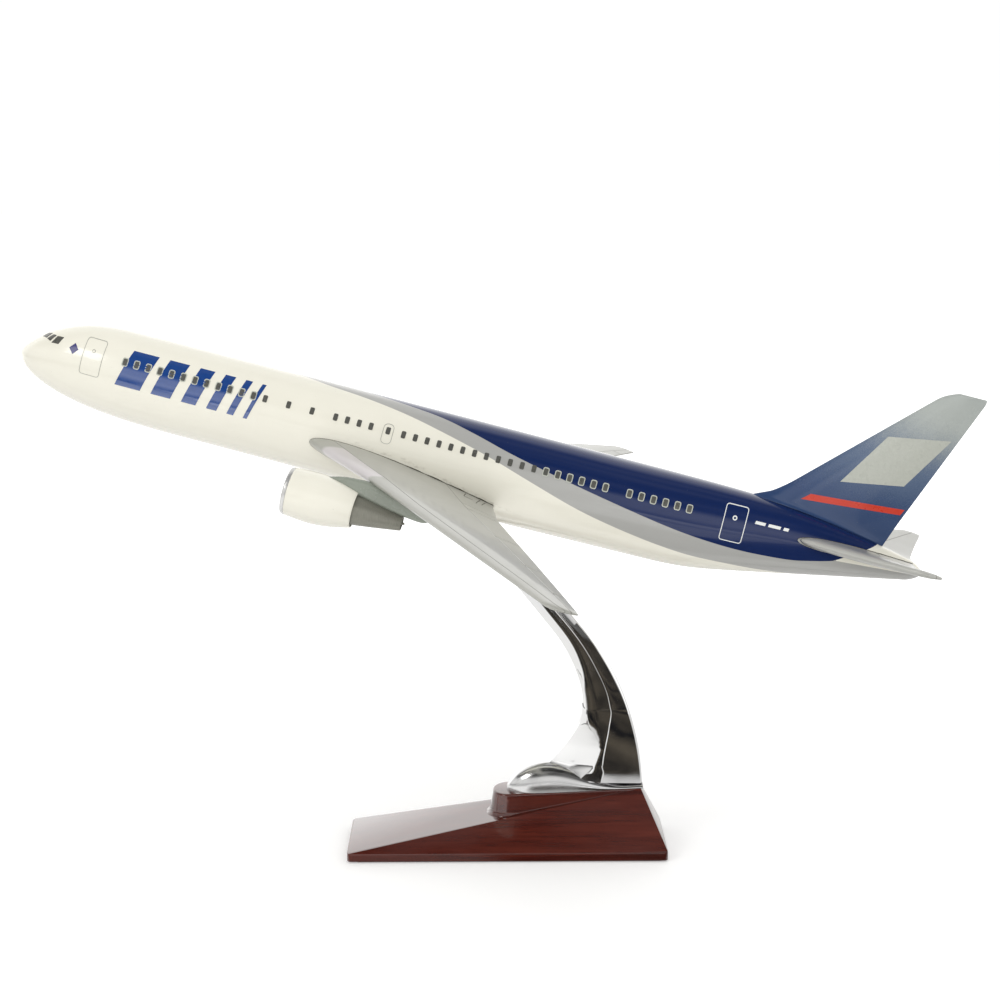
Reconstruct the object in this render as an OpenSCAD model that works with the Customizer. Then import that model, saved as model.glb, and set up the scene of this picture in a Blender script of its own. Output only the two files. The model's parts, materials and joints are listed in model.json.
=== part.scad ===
// Desktop airliner model on a wedge base with a curved chrome arm.
// World frame in mm: +Z up, +Y aft, +X to the aircraft's left (port) side.
// The origin is the centre of the base's underside.
// The aircraft is drawn in its own frame, x to port, y aft from the nose, z up,
// and place_aircraft() sets it on the arm.

/* [Aircraft] */
// Overall fuselage length
fuselage_length = 459.5; // [400:0.5:520]
// Half width of the constant fuselage section
fuselage_half_w = 21.0; // [18:0.1:25]
// Half height of the constant fuselage section
fuselage_half_h = 22.6; // [19:0.1:27]
// Distance from the centreline to each wing tip
wing_half_span = 206; // [170:1:240]
// Distance from the centreline to each tailplane tip
tail_half_span = 51; // [40:0.5:80]
// Height of the fin tip above the fuselage axis
fin_tip_z = 93.5; // [70:0.5:110]
// Distance from the centreline to each engine axis
engine_x = 67.6; // [55:0.1:80]
// Station of the front of each inlet lip
engine_station = 159.5; // [140:0.5:180]
// Height of each engine axis at the inlet lip
engine_z = -20.0; // [-26:0.1:-16]
// Nose-up tilt of each engine in degrees
engine_droop = 1.4; // [0:0.1:4]
// Blades on each fan
fan_blades = 18; // [8:1:30]

/* [Pose] */
// Nose-up pitch of the aircraft in degrees
pitch = 13.29; // [0:0.1:25]
// Resting turn of the aircraft on its pin in degrees
swivel_rest = -7.9; // [-30:0.1:30]
// Station where the pin enters the belly
pin_station = 245; // [220:1:260]
// Height of the pin datum in the aircraft frame
pin_datum_z = -23.1; // [-28:0.1:-20]
// World Y of the pin datum
pivot_y = -13.33; // [-40:0.1:20]
// World Z of the pin datum
pivot_z = 175.54; // [140:0.1:220]

/* [Stand] */
// Base length along Y
base_l = 161.9; // [130:0.5:200]
// Base width along X
base_w = 47.2; // [35:0.2:80]
// Height of the upright band round the base
band_h = 4.9; // [3:0.1:8]
// Height of the base at its rear top edge
rear_h = 33.9; // [25:0.1:50]
// Width left at the rear top edge
rear_top_w = 15.4; // [10:0.1:40]
// Rear face run from bottom to top
rear_run = 13.1; // [0:0.1:25]
// Thickness of the felt pad
felt_t = 0.8; // [0.5:0.1:2]
// Radius of the arm's rear curve
arm_rear_r = 147.3; // [120:0.5:180]
// Largest half thickness of the arm
arm_half_w = 7.6; // [5:0.1:11]

/* [Hardware] */
// Swivel pin radius
pin_r = 2.5; // [1.5:0.1:4]
// Radial running clearance
run_fit = 0.05; // [0.02:0.01:0.1]
// Radius of the rods joining the wings
rod_r = 1.75; // [1:0.05:2.5]
// Radius of the screws that hold the arm
screw_r = 2.0; // [1.5:0.1:3]

/* [Hidden] */
ivory = [0.92, 0.93, 0.87];
silver = [0.78, 0.78, 0.74];
navy = [0.12, 0.16, 0.45];
mahogany = [0.33, 0.09, 0.08];
steel = [0.7, 0.7, 0.72];
chrome = [0.82, 0.83, 0.85];
dark_metal = [0.38, 0.38, 0.36];
brass = [0.75, 0.6, 0.3];
felt = [0.1, 0.12, 0.1];
round_n = 64;
section_n = 36;
nose_stations = 22;
body_stations = 14;
tail_stations = 30;
foil_n = 15;
bond_bite = 0.3;
nose_z = -0.3;
wedge_bottom = felt_t;
plinth_z = rear_h;
screw_ys = [14, 52];
boss_l = 15.5;
pin_low = 13.5;

// ---------- general tools ----------
function lerp(a, b, t) = a + (b - a) * t;
function clamp01(t) = min(1, max(0, t));
function smooth(t) = let(u = clamp01(t)) u * u * (3 - 2 * u);
function soft_ramp(d, k) = d > 12 * k ? d : k * ln(1 + exp(d / k));
// Faces of a closed skin over equal rings of n points, with fan-cut end caps.
function ring_faces(n, rows) = concat(
    [for (j = [0:rows - 2]) for (i = [0:n - 1]) let(k = (i + 1) % n)
        [j * n + i, j * n + k, (j + 1) * n + k]],
    [for (j = [0:rows - 2]) for (i = [0:n - 1]) let(k = (i + 1) % n)
        [j * n + i, (j + 1) * n + k, (j + 1) * n + i]]);
// A cap that zips a ring closed in strips between opposite points.
function zip_cap(n, base, flip) = [for (i = [0:n / 2 - 2]) for (h = [0:1])
    let(a = base + i, b = base + i + 1, c = base + (n - i - 1) % n, d = base + n - i - 2)
    let(f = h == 0 ? [a, b, d] : [a, d, c])
    flip ? [f[2], f[1], f[0]] : f];
module skin(rings, flip = false) {
    n = len(rings[0]);
    rows = len(rings);
    pts = [for (r = rings) for (p = r) p];
    side = ring_faces(n, rows);
    caps = concat(zip_cap(n, 0, true), zip_cap(n, (rows - 1) * n, false));
    all_faces = concat(side, caps);
    polyhedron(pts, flip ? [for (f = all_faces) [f[2], f[1], f[0]]] : all_faces);
}

// ---------- fuselage shape ----------
function nose_top(s) = fuselage_half_h * pow(1 - pow(1 - clamp01(s / 56), 2.6), 0.87);
function nose_low(s) = (fuselage_half_h + nose_z) * pow(1 - pow(1 - clamp01(s / 95), 2.8), 0.5);
function belly_fairing(s) = 1.2 * exp(-pow((s - 240) / 60, 2));
function tail_close(s) = s < 452 ? 1 : sqrt(max(0, 1 - pow((s - 452) / 7.6, 2)));
function raw_top(s) = nose_top(s) - 0.22 * soft_ramp(s - 395, 15);
function raw_low(s) = nose_z - nose_low(s) - belly_fairing(s) + 0.2085 * soft_ramp(s - 346, 7);
function mid_z(s) = (raw_top(s) + raw_low(s)) / 2;
function half_h(s) = (raw_top(s) - raw_low(s)) / 2 * tail_close(s);
function crown_z(s) = mid_z(s) + half_h(s);
function nose_wide(s) = pow(1 - pow(1 - clamp01(s / 75), 2.6), 0.6);
function tail_wide(s) = 1 - pow(clamp01((s - 300) / 175), 1.8);
function half_w(s) = fuselage_half_w * nose_wide(s) * tail_wide(s) * tail_close(s);
function side_x(s, z) = half_w(s) * sqrt(max(0, 1 - pow((z - mid_z(s)) / half_h(s), 2)));
// Stations are crowded at the rounded nose and at the tail.
stations = concat(
    [for (i = [0:nose_stations - 1]) 0.02 + 90 * pow(i / nose_stations, 1.9)],
    [for (i = [0:body_stations - 1]) lerp(90, 310, i / body_stations)],
    [for (i = [0:tail_stations - 1]) lerp(310, 452, i / tail_stations)],
    [for (a = [0:15:75]) 452 + 7.6 * sin(a)],
    [fuselage_length]);
function body_ring(s) = [for (i = [0:section_n - 1]) let(a = 360 * i / section_n)
    [half_w(s) * cos(a), s, mid_z(s) + half_h(s) * sin(a)]];

// ---------- aerofoil shape ----------
function foil_t(u) = 5 * (0.2969 * sqrt(u) - 0.126 * u - 0.3516 * u * u
    + 0.2843 * pow(u, 3) - 0.1015 * pow(u, 4));
foil_u = [for (i = [0:foil_n]) (1 - cos(180 * i / foil_n)) / 2];
// Ring of (chord fraction, thickness) pairs, upper side first, with a blunt rear edge.
function foil_ring(thick, rear) = concat(
    [for (u = foil_u) [u, foil_t(u) * thick + u * rear / 2 + 0.001]],
    [for (i = [0:foil_n]) let(u = foil_u[foil_n - i])
        [u, -foil_t(u) * thick - u * rear / 2 - 0.001]]);

// ---------- wings ----------
wing_kink_x = 67;
// Each row: x, leading station, leading z, trailing station, trailing z, thickness, rear edge
wing_rows = [
    [21, 156.0, -4.5, 250.2, -13.4, 10.8, 1.0],
    [32, 165.4, -4.6, 252.0, -12.4, 9.6, 1.0],
    [48, 179.0, -4.8, 254.6, -11.0, 8.2, 0.9],
    [wing_kink_x, 195.4, -5.0, 257.6, -9.3, 6.9, 0.9],
    [100, 219.0, -5.2, 269.4, -8.4, 5.5, 0.8],
    [140, 247.5, -5.4, 283.6, -7.3, 4.2, 0.8],
    [180, 276.1, -5.6, 297.9, -6.4, 3.0, 0.7],
    [wing_half_span - 3.5, 292.2, -5.8, 306.0, -6.1, 2.2, 0.7],
    [wing_half_span - 1.2, 294.6, -5.8, 306.9, -6.1, 1.8, 0.5],
    [wing_half_span, 298.2, -5.9, 306.6, -6.1, 1.0, 0.3]];
function row_ring(r) = [for (q = foil_ring(r[5], r[6]))
    [r[0], lerp(r[1], r[3], q[0]), lerp(r[2], r[4], q[0]) + q[1]]];
// The root ring follows the fuselage side, less the bonding bite.
function root_ring(r) = [for (p = row_ring(r)) [side_x(p[1], p[2]) - bond_bite, p[1], p[2]]];
module wing_body() {
    skin(concat([root_ring(wing_rows[0])], [for (r = wing_rows) row_ring(r)]));
}
// Rod stations and heights: each crosses the fuselage into both wings.
rod_spots = [[196, -8.0], [224, -10.2]];
rod_half_l = 34;
module across(spots, r, half_l) {
    for (p = spots)
        translate([-half_l, p[0], p[1]])
            rotate([0, 90, 0])
                cylinder(r = r, h = 2 * half_l, $fn = round_n);
}

// ---------- tailplanes and fin ----------
tail_rows = [
    [16, 399.5, 8.4, 455.0, 8.6, 5.2, 1.2],
    [28, 416.5, 10.1, 457.0, 10.2, 4.4, 1.2],
    [40, 434.5, 12.1, 459.4, 12.2, 3.4, 1.2],
    [tail_half_span - 2, 449.3, 13.8, 461.3, 13.9, 2.6, 1.2],
    [tail_half_span, 453.4, 14.0, 461.2, 14.1, 1.6, 0.8]];
tail_root = [10, 396.5, 8.0, 454.0, 8.0, 5.4, 1.2];
tail_rod = [[425, 8.6]];
tail_rod_r = 1.25;
tail_rod_half_l = 22;
module tailplane_body() {
    skin(concat([root_ring(tail_root)], [for (r = tail_rows) row_ring(r)]));
}
fin_rows = 9;
fin_low_z = 22;
// Leading and trailing edge of the fin at height z, with a swept foot in front.
function fin_lead(z) = 390.4 + (z - 35.7) * 0.9965 - 3.2 * pow(clamp01((34 - z) / 12), 2)
    + 9 * pow(clamp01((z - 87) / 8.2), 3);
function fin_trail(z) = 438.2 + (z - 15.2) * 0.362 - 0.8 * pow(clamp01((z - 90) / 3.5), 2);
function fin_thick(z) = lerp(6.2, 2.4, clamp01((z - 15) / 78));
function fin_ring(t) = [for (q = foil_ring(1, 0.12))
    let(z0 = lerp(fin_low_z, fin_tip_z, t))
    let(s = lerp(fin_lead(z0), fin_trail(t == 0 ? 14 : z0), q[0]))
    let(z = t == 0 ? crown_z(s) - bond_bite : z0)
    [-q[1] * fin_thick(z), s, z]];
fin_steps = [0, 0.05, 0.12, 0.22, 0.36, 0.52, 0.68, 0.82, 0.92, 0.97, 1];
peg_stations = [394, 412];
peg_r = 1.0;
peg_h = 20;
module pegs(r, h) {
    for (s = peg_stations)
        translate([0, s, crown_z(s) - h / 2])
            cylinder(r = r, h = h, $fn = round_n);
}

// ---------- engines, drawn along +Z from the lip ----------
cowl_l = 33;
cowl_lip_l = 2.0;
lip_out_r = 11.25;
duct_r = 9.6;
cowl_exit_r = 8.65;
core_r = 7.2;
nozzle_l = 22.7;
nozzle_end_r = 3.6;
fan_at = 7;
fan_tip_r = 9.3;
axle_r = 1.0;
function cowl_out(a) = a < 14 ? lerp(lip_out_r, 11.95, sin(90 * (a - cowl_lip_l) / 12))
    : 11.95 - (11.95 - cowl_exit_r) * pow((a - 14) / (cowl_l - 14), 1.7);
function duct_in(a) = a < 20 ? duct_r : lerp(duct_r, 8.2, smooth((a - 20) / 13));
module engine_place(side) {
    translate([side * engine_x, engine_station, engine_z])
        rotate([-90 - engine_droop, 0, 0])
            children();
}
module fan_cowl_body() {
    outer = [for (i = [0:20]) let(a = lerp(cowl_lip_l, cowl_l, i / 20)) [cowl_out(a), a]];
    inner = [for (i = [0:14]) let(a = lerp(cowl_l, cowl_lip_l, i / 14)) [duct_in(a), a]];
    rotate_extrude($fn = round_n)
        polygon(concat(outer, inner));
}
module lip_body() {
    mid = (lip_out_r + duct_r) / 2;
    half = (lip_out_r - duct_r) / 2;
    rotate_extrude($fn = round_n)
        polygon([for (a = [0:15:180]) [mid + half * cos(a), cowl_lip_l - 0.02 - 1.98 * sin(a)]]);
}
module core_body() {
    difference() {
        union() {
            rotate_extrude($fn = round_n)
                polygon([[0, 10], [5.6, 10], [core_r, 13], [core_r, cowl_l],
                    [nozzle_end_r, cowl_l + nozzle_l], [0, cowl_l + nozzle_l]]);
            for (a = [45:90:315])
                rotate([0, 0, a])
                    translate([core_r - 1, -0.4, 14])
                        cube([duct_r - core_r + 1.2, 0.8, 5]);
        }
        translate([0, 0, cowl_l + nozzle_l - 8])
            cylinder(r1 = 3.9, r2 = nozzle_end_r - 0.5, h = 9, $fn = round_n);
        translate([0, 0, 9])
            cylinder(r = axle_r + run_fit, h = 8, $fn = round_n);
    }
}
module plug_body() {
    translate([0, 0, cowl_l + nozzle_l - 8])
        cylinder(r1 = 2.0, r2 = 0.5, h = 9.5, $fn = round_n);
}
module rotor_body() {
    translate([0, 0, fan_at]) {
        difference() {
            cylinder(r = 2.9, h = 2.6, $fn = round_n);
            translate([0, 0, -0.1])
                cylinder(r = axle_r + 0.02, h = 3, $fn = round_n);
        }
        for (i = [0:fan_blades - 1])
            rotate([0, 0, 360 * i / fan_blades])
                translate([2.6, 0, 1.3])
                    rotate([38, 0, 0])
                        translate([0, -0.22, -1.35])
                            cube([fan_tip_r - 2.7, 0.44, 2.7]);
    }
}
module spinner_body() {
    translate([0, 0, fan_at - 3.6])
        rotate_extrude($fn = round_n)
            polygon(concat([for (i = [0:10]) [2.9 * sqrt(i / 10), 3.55 * i / 10]], [[0, 3.55]]));
}
module axle_body() {
    translate([0, 0, fan_at + 0.02])
        cylinder(r = axle_r, h = 9, $fn = round_n);
}
// Side outline of the pylon as (station, z) points.
pylon_side = [[175.4, -9.3], [180, -7.9], [187, -6.6], [197, -6.2], [206, -8.6], [222, -11.2],
    [234, -12.2], [231, -15.0], [226, -17.6], [223.6, -18.3], [214, -17.3], [203, -15.4],
    [194, -13.6], [186, -12.0], [178, -10.8]];
pylon_half_t = 1.5;
module pylon_body() {
    translate([engine_x, 0, 0])
        rotate([90, 0, 90])
            translate([0, 0, -pylon_half_t])
                linear_extrude(height = 2 * pylon_half_t)
                    polygon(pylon_side);
}

// ---------- placement ----------
module place_aircraft() {
    translate([0, pivot_y, pivot_z])
        rotate([-pitch, 0, 0])
            rotate([0, 0, swivel_rest])
                translate([0, -pin_station, -pin_datum_z])
                    children();
}
// Along the pin axis: z = 0 at the pin datum.
module place_pin() {
    translate([0, pivot_y, pivot_z])
        rotate([-pitch, 0, 0])
            children();
}
module other_side() {
    mirror([1, 0, 0])
        children();
}

// ---------- stand ----------
module rounded_plan(l, w, r) {
    for (sx = [-1, 1]) for (sy = [-1, 1])
        translate([sx * (w / 2 - r), sy * (l / 2 - r)])
            circle(r = r, $fn = round_n);
    square([w - 2 * r, l], center = true);
    square([w, l - 2 * r], center = true);
}
module wedge_block() {
    y0 = -base_l / 2;
    y1 = base_l / 2;
    x1 = base_w / 2;
    xt = rear_top_w / 2;
    yt = y1 - rear_run;
    polyhedron([[-x1, y0, wedge_bottom], [x1, y0, wedge_bottom], [x1, y1, wedge_bottom],
        [-x1, y1, wedge_bottom], [-x1, y0, band_h], [x1, y0, band_h], [x1, y1, band_h],
        [-x1, y1, band_h], [-xt, yt, rear_h], [xt, yt, rear_h]],
        [[0, 1, 2, 3], [0, 4, 5, 1], [1, 5, 6, 2], [2, 6, 7, 3], [3, 7, 4, 0],
        [5, 9, 6], [7, 8, 4], [6, 9, 8, 7], [5, 4, 8, 9]]);
}
// Plan outline of the plinth: rounded at the front, narrowing to the rear.
plinth_front_y = -6;
plinth_rear_y = base_l / 2 - rear_run;
plinth_n = 12;
function plinth_side(y) = lerp(13.2, rear_top_w / 2 - 0.02,
    clamp01((y - plinth_front_y) / (plinth_rear_y - plinth_front_y)));
function plinth_outline(grow) = concat(
    [for (i = [0:plinth_n]) let(a = 90 * i / plinth_n)
        [plinth_side(0) - 5 + (5 + grow) * sin(a), plinth_front_y + 5 - (5 + grow) * cos(a)]],
    [[plinth_side(plinth_rear_y) + grow * 0.15, plinth_rear_y]],
    [[-plinth_side(plinth_rear_y) - grow * 0.15, plinth_rear_y]],
    [for (i = [0:plinth_n]) let(a = 90 - 90 * i / plinth_n)
        [-plinth_side(0) + 5 - (5 + grow) * sin(a), plinth_front_y + 5 - (5 + grow) * cos(a)]]);
function plinth_ring(z, grow) = [for (p = plinth_outline(grow)) [p[0], p[1], z]];
module plinth_block() {
    skin([plinth_ring(14, 3.8), plinth_ring(19, 2.6), plinth_ring(plinth_z, 0)], flip = true);
}

// Arm sections: each row is front (y, z), rear (y, z) and half thickness.
arc_cy = -78.4;
arc_cz = 27.9;
arc_top = 40.8;
function arc_point(a) = [arc_cy + arm_rear_r * cos(a), arc_cz + arm_rear_r * sin(a)];
straight_dir = [-sin(arc_top), cos(arc_top)];
function straight_point(d) = arc_point(arc_top) + d * straight_dir;
lower_front = [[12, 38], [20.6, 46], [23.2, 49], [25.8, 52], [28.6, 55.6], [31.3, 59.4],
    [33.8, 63.6], [35.8, 67.6], [37.2, 72], [37.6, 76.5]];
arm_rows = concat(
    [for (i = [0:len(lower_front) - 1]) let(f = lower_front[i])
        [f, arc_point(lerp(3.2, 18.5, i / 9)), arm_half_w + 0.8 * (1 - i / 9)]],
    [for (i = [1:8]) let(t = i / 8, a = lerp(18.5, arc_top, t))
        let(d = 8.5 + 15 * exp(-(a - 20) / 17.5) - 1.4 * (1 - t) * t)
        [arc_point(a) - d * [cos(a), sin(a)], arc_point(a), lerp(arm_half_w, 6.4, t)]],
    [for (i = [1:5]) let(t = i / 5, d = 58 * t, w = lerp(13.0, 10.6, t))
        [straight_point(d) - w * [cos(arc_top), sin(arc_top)], straight_point(d),
        lerp(6.4, 5.4, t)]]);
// Six-sided arm section with a ridge half way, softened by extra points.
arm_shape = [[0, 0.25], [0.02, 0.44], [0.10, 0.60], [0.28, 0.84], [0.46, 0.98], [0.54, 0.98],
    [0.74, 0.80], [0.92, 0.52], [0.985, 0.36], [1, 0.2]];
function arm_ring(r) = let(f = r[0], b = r[1], w = r[2]) concat(
    [for (q = arm_shape) [q[1] * w, lerp(f[0], b[0], q[0]), lerp(f[1], b[1], q[0])]],
    [for (i = [len(arm_shape) - 1:-1:0]) let(q = arm_shape[i])
        [-q[1] * w, lerp(f[0], b[0], q[0]), lerp(f[1], b[1], q[0])]]);
// Foot of the arm: a low teardrop dome on the plinth.
foot_front = -1.2;
foot_rear = 68.9;
foot_n = 18;
function foot_w(y) = y < 18 ? 12.2 * sqrt(max(0.0004, 1 - pow((18 - y) / 19.2, 2)))
    : lerp(12.2, 7.3, smooth((y - 18) / 60) * 1.05);
function foot_h(y) = y < 21 ? 12 * max(0.02, 1 - pow(1 - (y - foot_front) / 22.2, 2))
    : 12 - 9.4 * smooth((y - 21) / 40);
foot_ys = concat([for (i = [0:9]) foot_front + 0.001 + 22 * pow(i / 10, 1.7)],
    [for (i = [0:9]) lerp(foot_front + 22, foot_rear, i / 9)]);
function foot_ring(y) = [for (i = [0:foot_n - 1]) let(a = 180 * i / (foot_n - 1))
    [foot_w(y) * cos(a), y, plinth_z + 0.02 + foot_h(y) * pow(sin(a), 0.85)]];

// ---------- nodes ----------
module felt_pad() {
    color(felt)
        linear_extrude(height = felt_t)
            rounded_plan(base_l - 3, base_w - 3, 3);
}
module base_wedge() {
    color(mahogany)
        difference() {
            union() {
                intersection() {
                    wedge_block();
                    linear_extrude(height = 60)
                        rounded_plan(base_l, base_w, 3);
                }
                plinth_block();
            }
            for (y = screw_ys)
                translate([0, y, 0]) {
                    cylinder(r = screw_r + 0.2, h = 60, $fn = round_n);
                    cylinder(r = 4.6, h = 9, $fn = round_n);
                }
        }
}
module stand_arm() {
    color(chrome)
        difference() {
            union() {
                skin([for (y = foot_ys) foot_ring(y)]);
                skin([for (r = arm_rows) arm_ring(r)], flip = true);
                place_pin()
                    translate([0, 0, -boss_l])
                        cylinder(r = 5.6, h = boss_l - 2.85, $fn = round_n);
            }
            place_pin()
                translate([0, 0, -pin_low - 0.1])
                    cylinder(r = pin_r + run_fit, h = 20, $fn = round_n);
            for (y = screw_ys)
                translate([0, y, plinth_z - 1])
                    cylinder(r = screw_r + run_fit, h = 7.5, $fn = round_n);
        }
}
module arm_screws() {
    color(steel)
        for (y = screw_ys)
            translate([0, y, 0]) {
                translate([0, 0, 4.6])
                    cylinder(r = screw_r, h = plinth_z + 1, $fn = round_n);
                difference() {
                    translate([0, 0, 4.8])
                        cylinder(r = 3.6, h = 3.2, $fn = round_n);
                    translate([0, 0, 4.5])
                        cylinder(r = 2.0, h = 2.0, $fn = 6);
                }
            }
}
module screw_washers() {
    color(steel)
        for (y = screw_ys)
            translate([0, y, 8.02])
                difference() {
                    cylinder(r = 4.4, h = 0.9, $fn = round_n);
                    translate([0, 0, -0.1])
                        cylinder(r = screw_r + 0.1, h = 1.2, $fn = round_n);
                }
}
module swivel_pin() {
    color(steel)
        place_pin() {
            translate([0, 0, -pin_low])
                cylinder(r = pin_r, h = pin_low + 12.4, $fn = round_n);
            translate([0, 0, 12.4])
                cylinder(r1 = pin_r, r2 = pin_r - 0.6, h = 0.6, $fn = round_n);
        }
}
module pin_collar() {
    color(chrome)
        place_pin()
            translate([0, 0, -2.8])
                difference() {
                    cylinder(r = 5, h = 1.22, $fn = round_n);
                    translate([0, 0, -0.1])
                        cylinder(r = pin_r + 0.01, h = 1.5, $fn = round_n);
                }
}
module belly_bush() {
    color(brass)
        place_pin()
            difference() {
                union() {
                    translate([0, 0, -1.5])
                        cylinder(r = 4.5, h = 16.5, $fn = round_n);
                    translate([0, 0, -1.5])
                        cylinder(r = 6, h = 1, $fn = round_n);
                }
                translate([0, 0, -2])
                    cylinder(r = pin_r + run_fit, h = 18, $fn = round_n);
            }
}
module fuselage() {
    color(ivory)
        place_aircraft()
            difference() {
                skin([for (s = stations) body_ring(s)]);
                across(rod_spots, rod_r + run_fit, rod_half_l + 2);
                across(tail_rod, tail_rod_r + run_fit, tail_rod_half_l + 2);
                pegs(peg_r + run_fit, peg_h + 0.2);
                translate([0, pin_station, pin_datum_z - 6])
                    cylinder(r = 4.55, h = 21.1, $fn = round_n);
                translate([0, pin_station, pin_datum_z - 6])
                    cylinder(r = 6.05, h = 5.55, $fn = round_n);
            }
}
module wing_with_holes() {
    difference() {
        wing_body();
        across(rod_spots, rod_r + run_fit, rod_half_l + 0.1);
    }
}
module left_wing() {
    color(silver)
        place_aircraft()
            wing_with_holes();
}
module right_wing() {
    color(silver)
        place_aircraft()
            other_side()
                wing_with_holes();
}
module wing_rods() {
    color(steel)
        place_aircraft()
            across(rod_spots, rod_r, rod_half_l);
}
module vertical_fin() {
    color(navy)
        place_aircraft()
            difference() {
                skin([for (t = fin_steps) fin_ring(t)]);
                pegs(peg_r + run_fit, peg_h + 0.2);
            }
}
module fin_pegs() {
    color(steel)
        place_aircraft()
            pegs(peg_r, peg_h);
}
module tailplane_with_hole() {
    difference() {
        tailplane_body();
        across(tail_rod, tail_rod_r + run_fit, tail_rod_half_l + 0.1);
    }
}
module left_tailplane() {
    color(silver)
        place_aircraft()
            tailplane_with_hole();
}
module right_tailplane() {
    color(silver)
        place_aircraft()
            other_side()
                tailplane_with_hole();
}
module tailplane_rod() {
    color(steel)
        place_aircraft()
            across(tail_rod, tail_rod_r, tail_rod_half_l);
}
module left_pylon() {
    color(silver)
        place_aircraft()
            pylon_body();
}
module right_pylon() {
    color(silver)
        place_aircraft()
            other_side()
                pylon_body();
}
module left_fan_cowl() {
    color(ivory)
        place_aircraft()
            engine_place(1)
                fan_cowl_body();
}
module right_fan_cowl() {
    color(ivory)
        place_aircraft()
            engine_place(-1)
                fan_cowl_body();
}
module left_inlet_lip() {
    color(chrome)
        place_aircraft()
            engine_place(1)
                lip_body();
}
module right_inlet_lip() {
    color(chrome)
        place_aircraft()
            engine_place(-1)
                lip_body();
}
module left_core_nozzle() {
    color(dark_metal)
        place_aircraft()
            engine_place(1)
                core_body();
}
module right_core_nozzle() {
    color(dark_metal)
        place_aircraft()
            engine_place(-1)
                core_body();
}
module left_exhaust_plug() {
    color(dark_metal)
        place_aircraft()
            engine_place(1)
                plug_body();
}
module right_exhaust_plug() {
    color(dark_metal)
        place_aircraft()
            engine_place(-1)
                plug_body();
}
module left_fan_rotor() {
    color(dark_metal)
        place_aircraft()
            engine_place(1)
                rotor_body();
}
module right_fan_rotor() {
    color(dark_metal)
        place_aircraft()
            engine_place(-1)
                rotor_body();
}
module left_spinner() {
    color(silver)
        place_aircraft()
            engine_place(1)
                spinner_body();
}
module right_spinner() {
    color(silver)
        place_aircraft()
            engine_place(-1)
                spinner_body();
}
module left_fan_axle() {
    color(steel)
        place_aircraft()
            engine_place(1)
                axle_body();
}
module right_fan_axle() {
    color(steel)
        place_aircraft()
            engine_place(-1)
                axle_body();
}

felt_pad();
base_wedge();
stand_arm();
arm_screws();
screw_washers();
swivel_pin();
pin_collar();
belly_bush();
fuselage();
left_wing();
right_wing();
wing_rods();
vertical_fin();
fin_pegs();
left_tailplane();
right_tailplane();
tailplane_rod();
left_pylon();
right_pylon();
left_fan_cowl();
right_fan_cowl();
left_inlet_lip();
right_inlet_lip();
left_core_nozzle();
right_core_nozzle();
left_exhaust_plug();
right_exhaust_plug();
left_fan_rotor();
right_fan_rotor();
left_spinner();
right_spinner();
left_fan_axle();
right_fan_axle();
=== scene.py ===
"""Looks for a desktop airliner model on a lacquered wedge base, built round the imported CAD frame.

Shapes are worked out in millimetres. The aircraft's own frame is x to port, y aft from the nose and z up,
and its place comes from the frame's joints. Meshes are turned into metres in the row frame.
"""

import json
import math

import bmesh
import bpy
import numpy as np
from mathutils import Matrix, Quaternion, Vector


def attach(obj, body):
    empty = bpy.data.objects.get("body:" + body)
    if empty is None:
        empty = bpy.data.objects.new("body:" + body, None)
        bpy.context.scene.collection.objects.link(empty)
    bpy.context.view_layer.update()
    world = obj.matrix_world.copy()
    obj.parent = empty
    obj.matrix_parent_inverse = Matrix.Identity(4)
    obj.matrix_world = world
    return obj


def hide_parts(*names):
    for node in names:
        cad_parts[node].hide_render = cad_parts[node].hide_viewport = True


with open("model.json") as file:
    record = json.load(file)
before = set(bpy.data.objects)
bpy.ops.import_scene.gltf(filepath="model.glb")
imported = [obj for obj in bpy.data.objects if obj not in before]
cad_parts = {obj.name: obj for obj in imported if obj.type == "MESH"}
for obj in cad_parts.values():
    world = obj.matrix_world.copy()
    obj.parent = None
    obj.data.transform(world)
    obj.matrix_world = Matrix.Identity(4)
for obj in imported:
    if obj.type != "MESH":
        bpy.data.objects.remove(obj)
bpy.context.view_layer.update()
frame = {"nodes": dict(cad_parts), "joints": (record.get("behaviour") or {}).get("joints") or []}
MM = 0.001
NODES = frame["nodes"]

# ------------------ driving dimensions shared with the CAD
FUSELAGE_L, HALF_W, HALF_H = 459.5, 21.0, 22.6
NOSE_Z = -0.3
FIN_TIP_Z = 93.5
ENGINE_X, ENGINE_STATION, ENGINE_Z, ENGINE_DROOP = 67.6, 159.5, -20.0, 1.4
PIN_STATION, PIN_DATUM_Z = 245.0, -23.1
BASE_W, BAND_H, FELT_T = 47.2, 4.9, 0.8
PIN_R, RUN_FIT = 2.5, 0.05
TURN = 2 * math.pi
SIDES = ((1, "left"), (-1, "right"))


# ------------------ small tools
def unit(v):
    v = np.asarray(v, float)
    return v / np.linalg.norm(v, axis=-1, keepdims=True)


def clamp01(t):
    return np.clip(t, 0, 1)


def smooth(t):
    u = clamp01(t)
    return u * u * (3 - 2 * u)


def lerp(a, b, t):
    return a + (b - a) * t


def there_and_back(a):
    return np.concatenate([a, a[::-1]])


def soft_ramp(d, k):
    """Zero below d = 0 and d above it, with a bend of about k."""
    return k * np.log1p(np.exp(np.clip(np.asarray(d, float) / k, -30, 30)))


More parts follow.
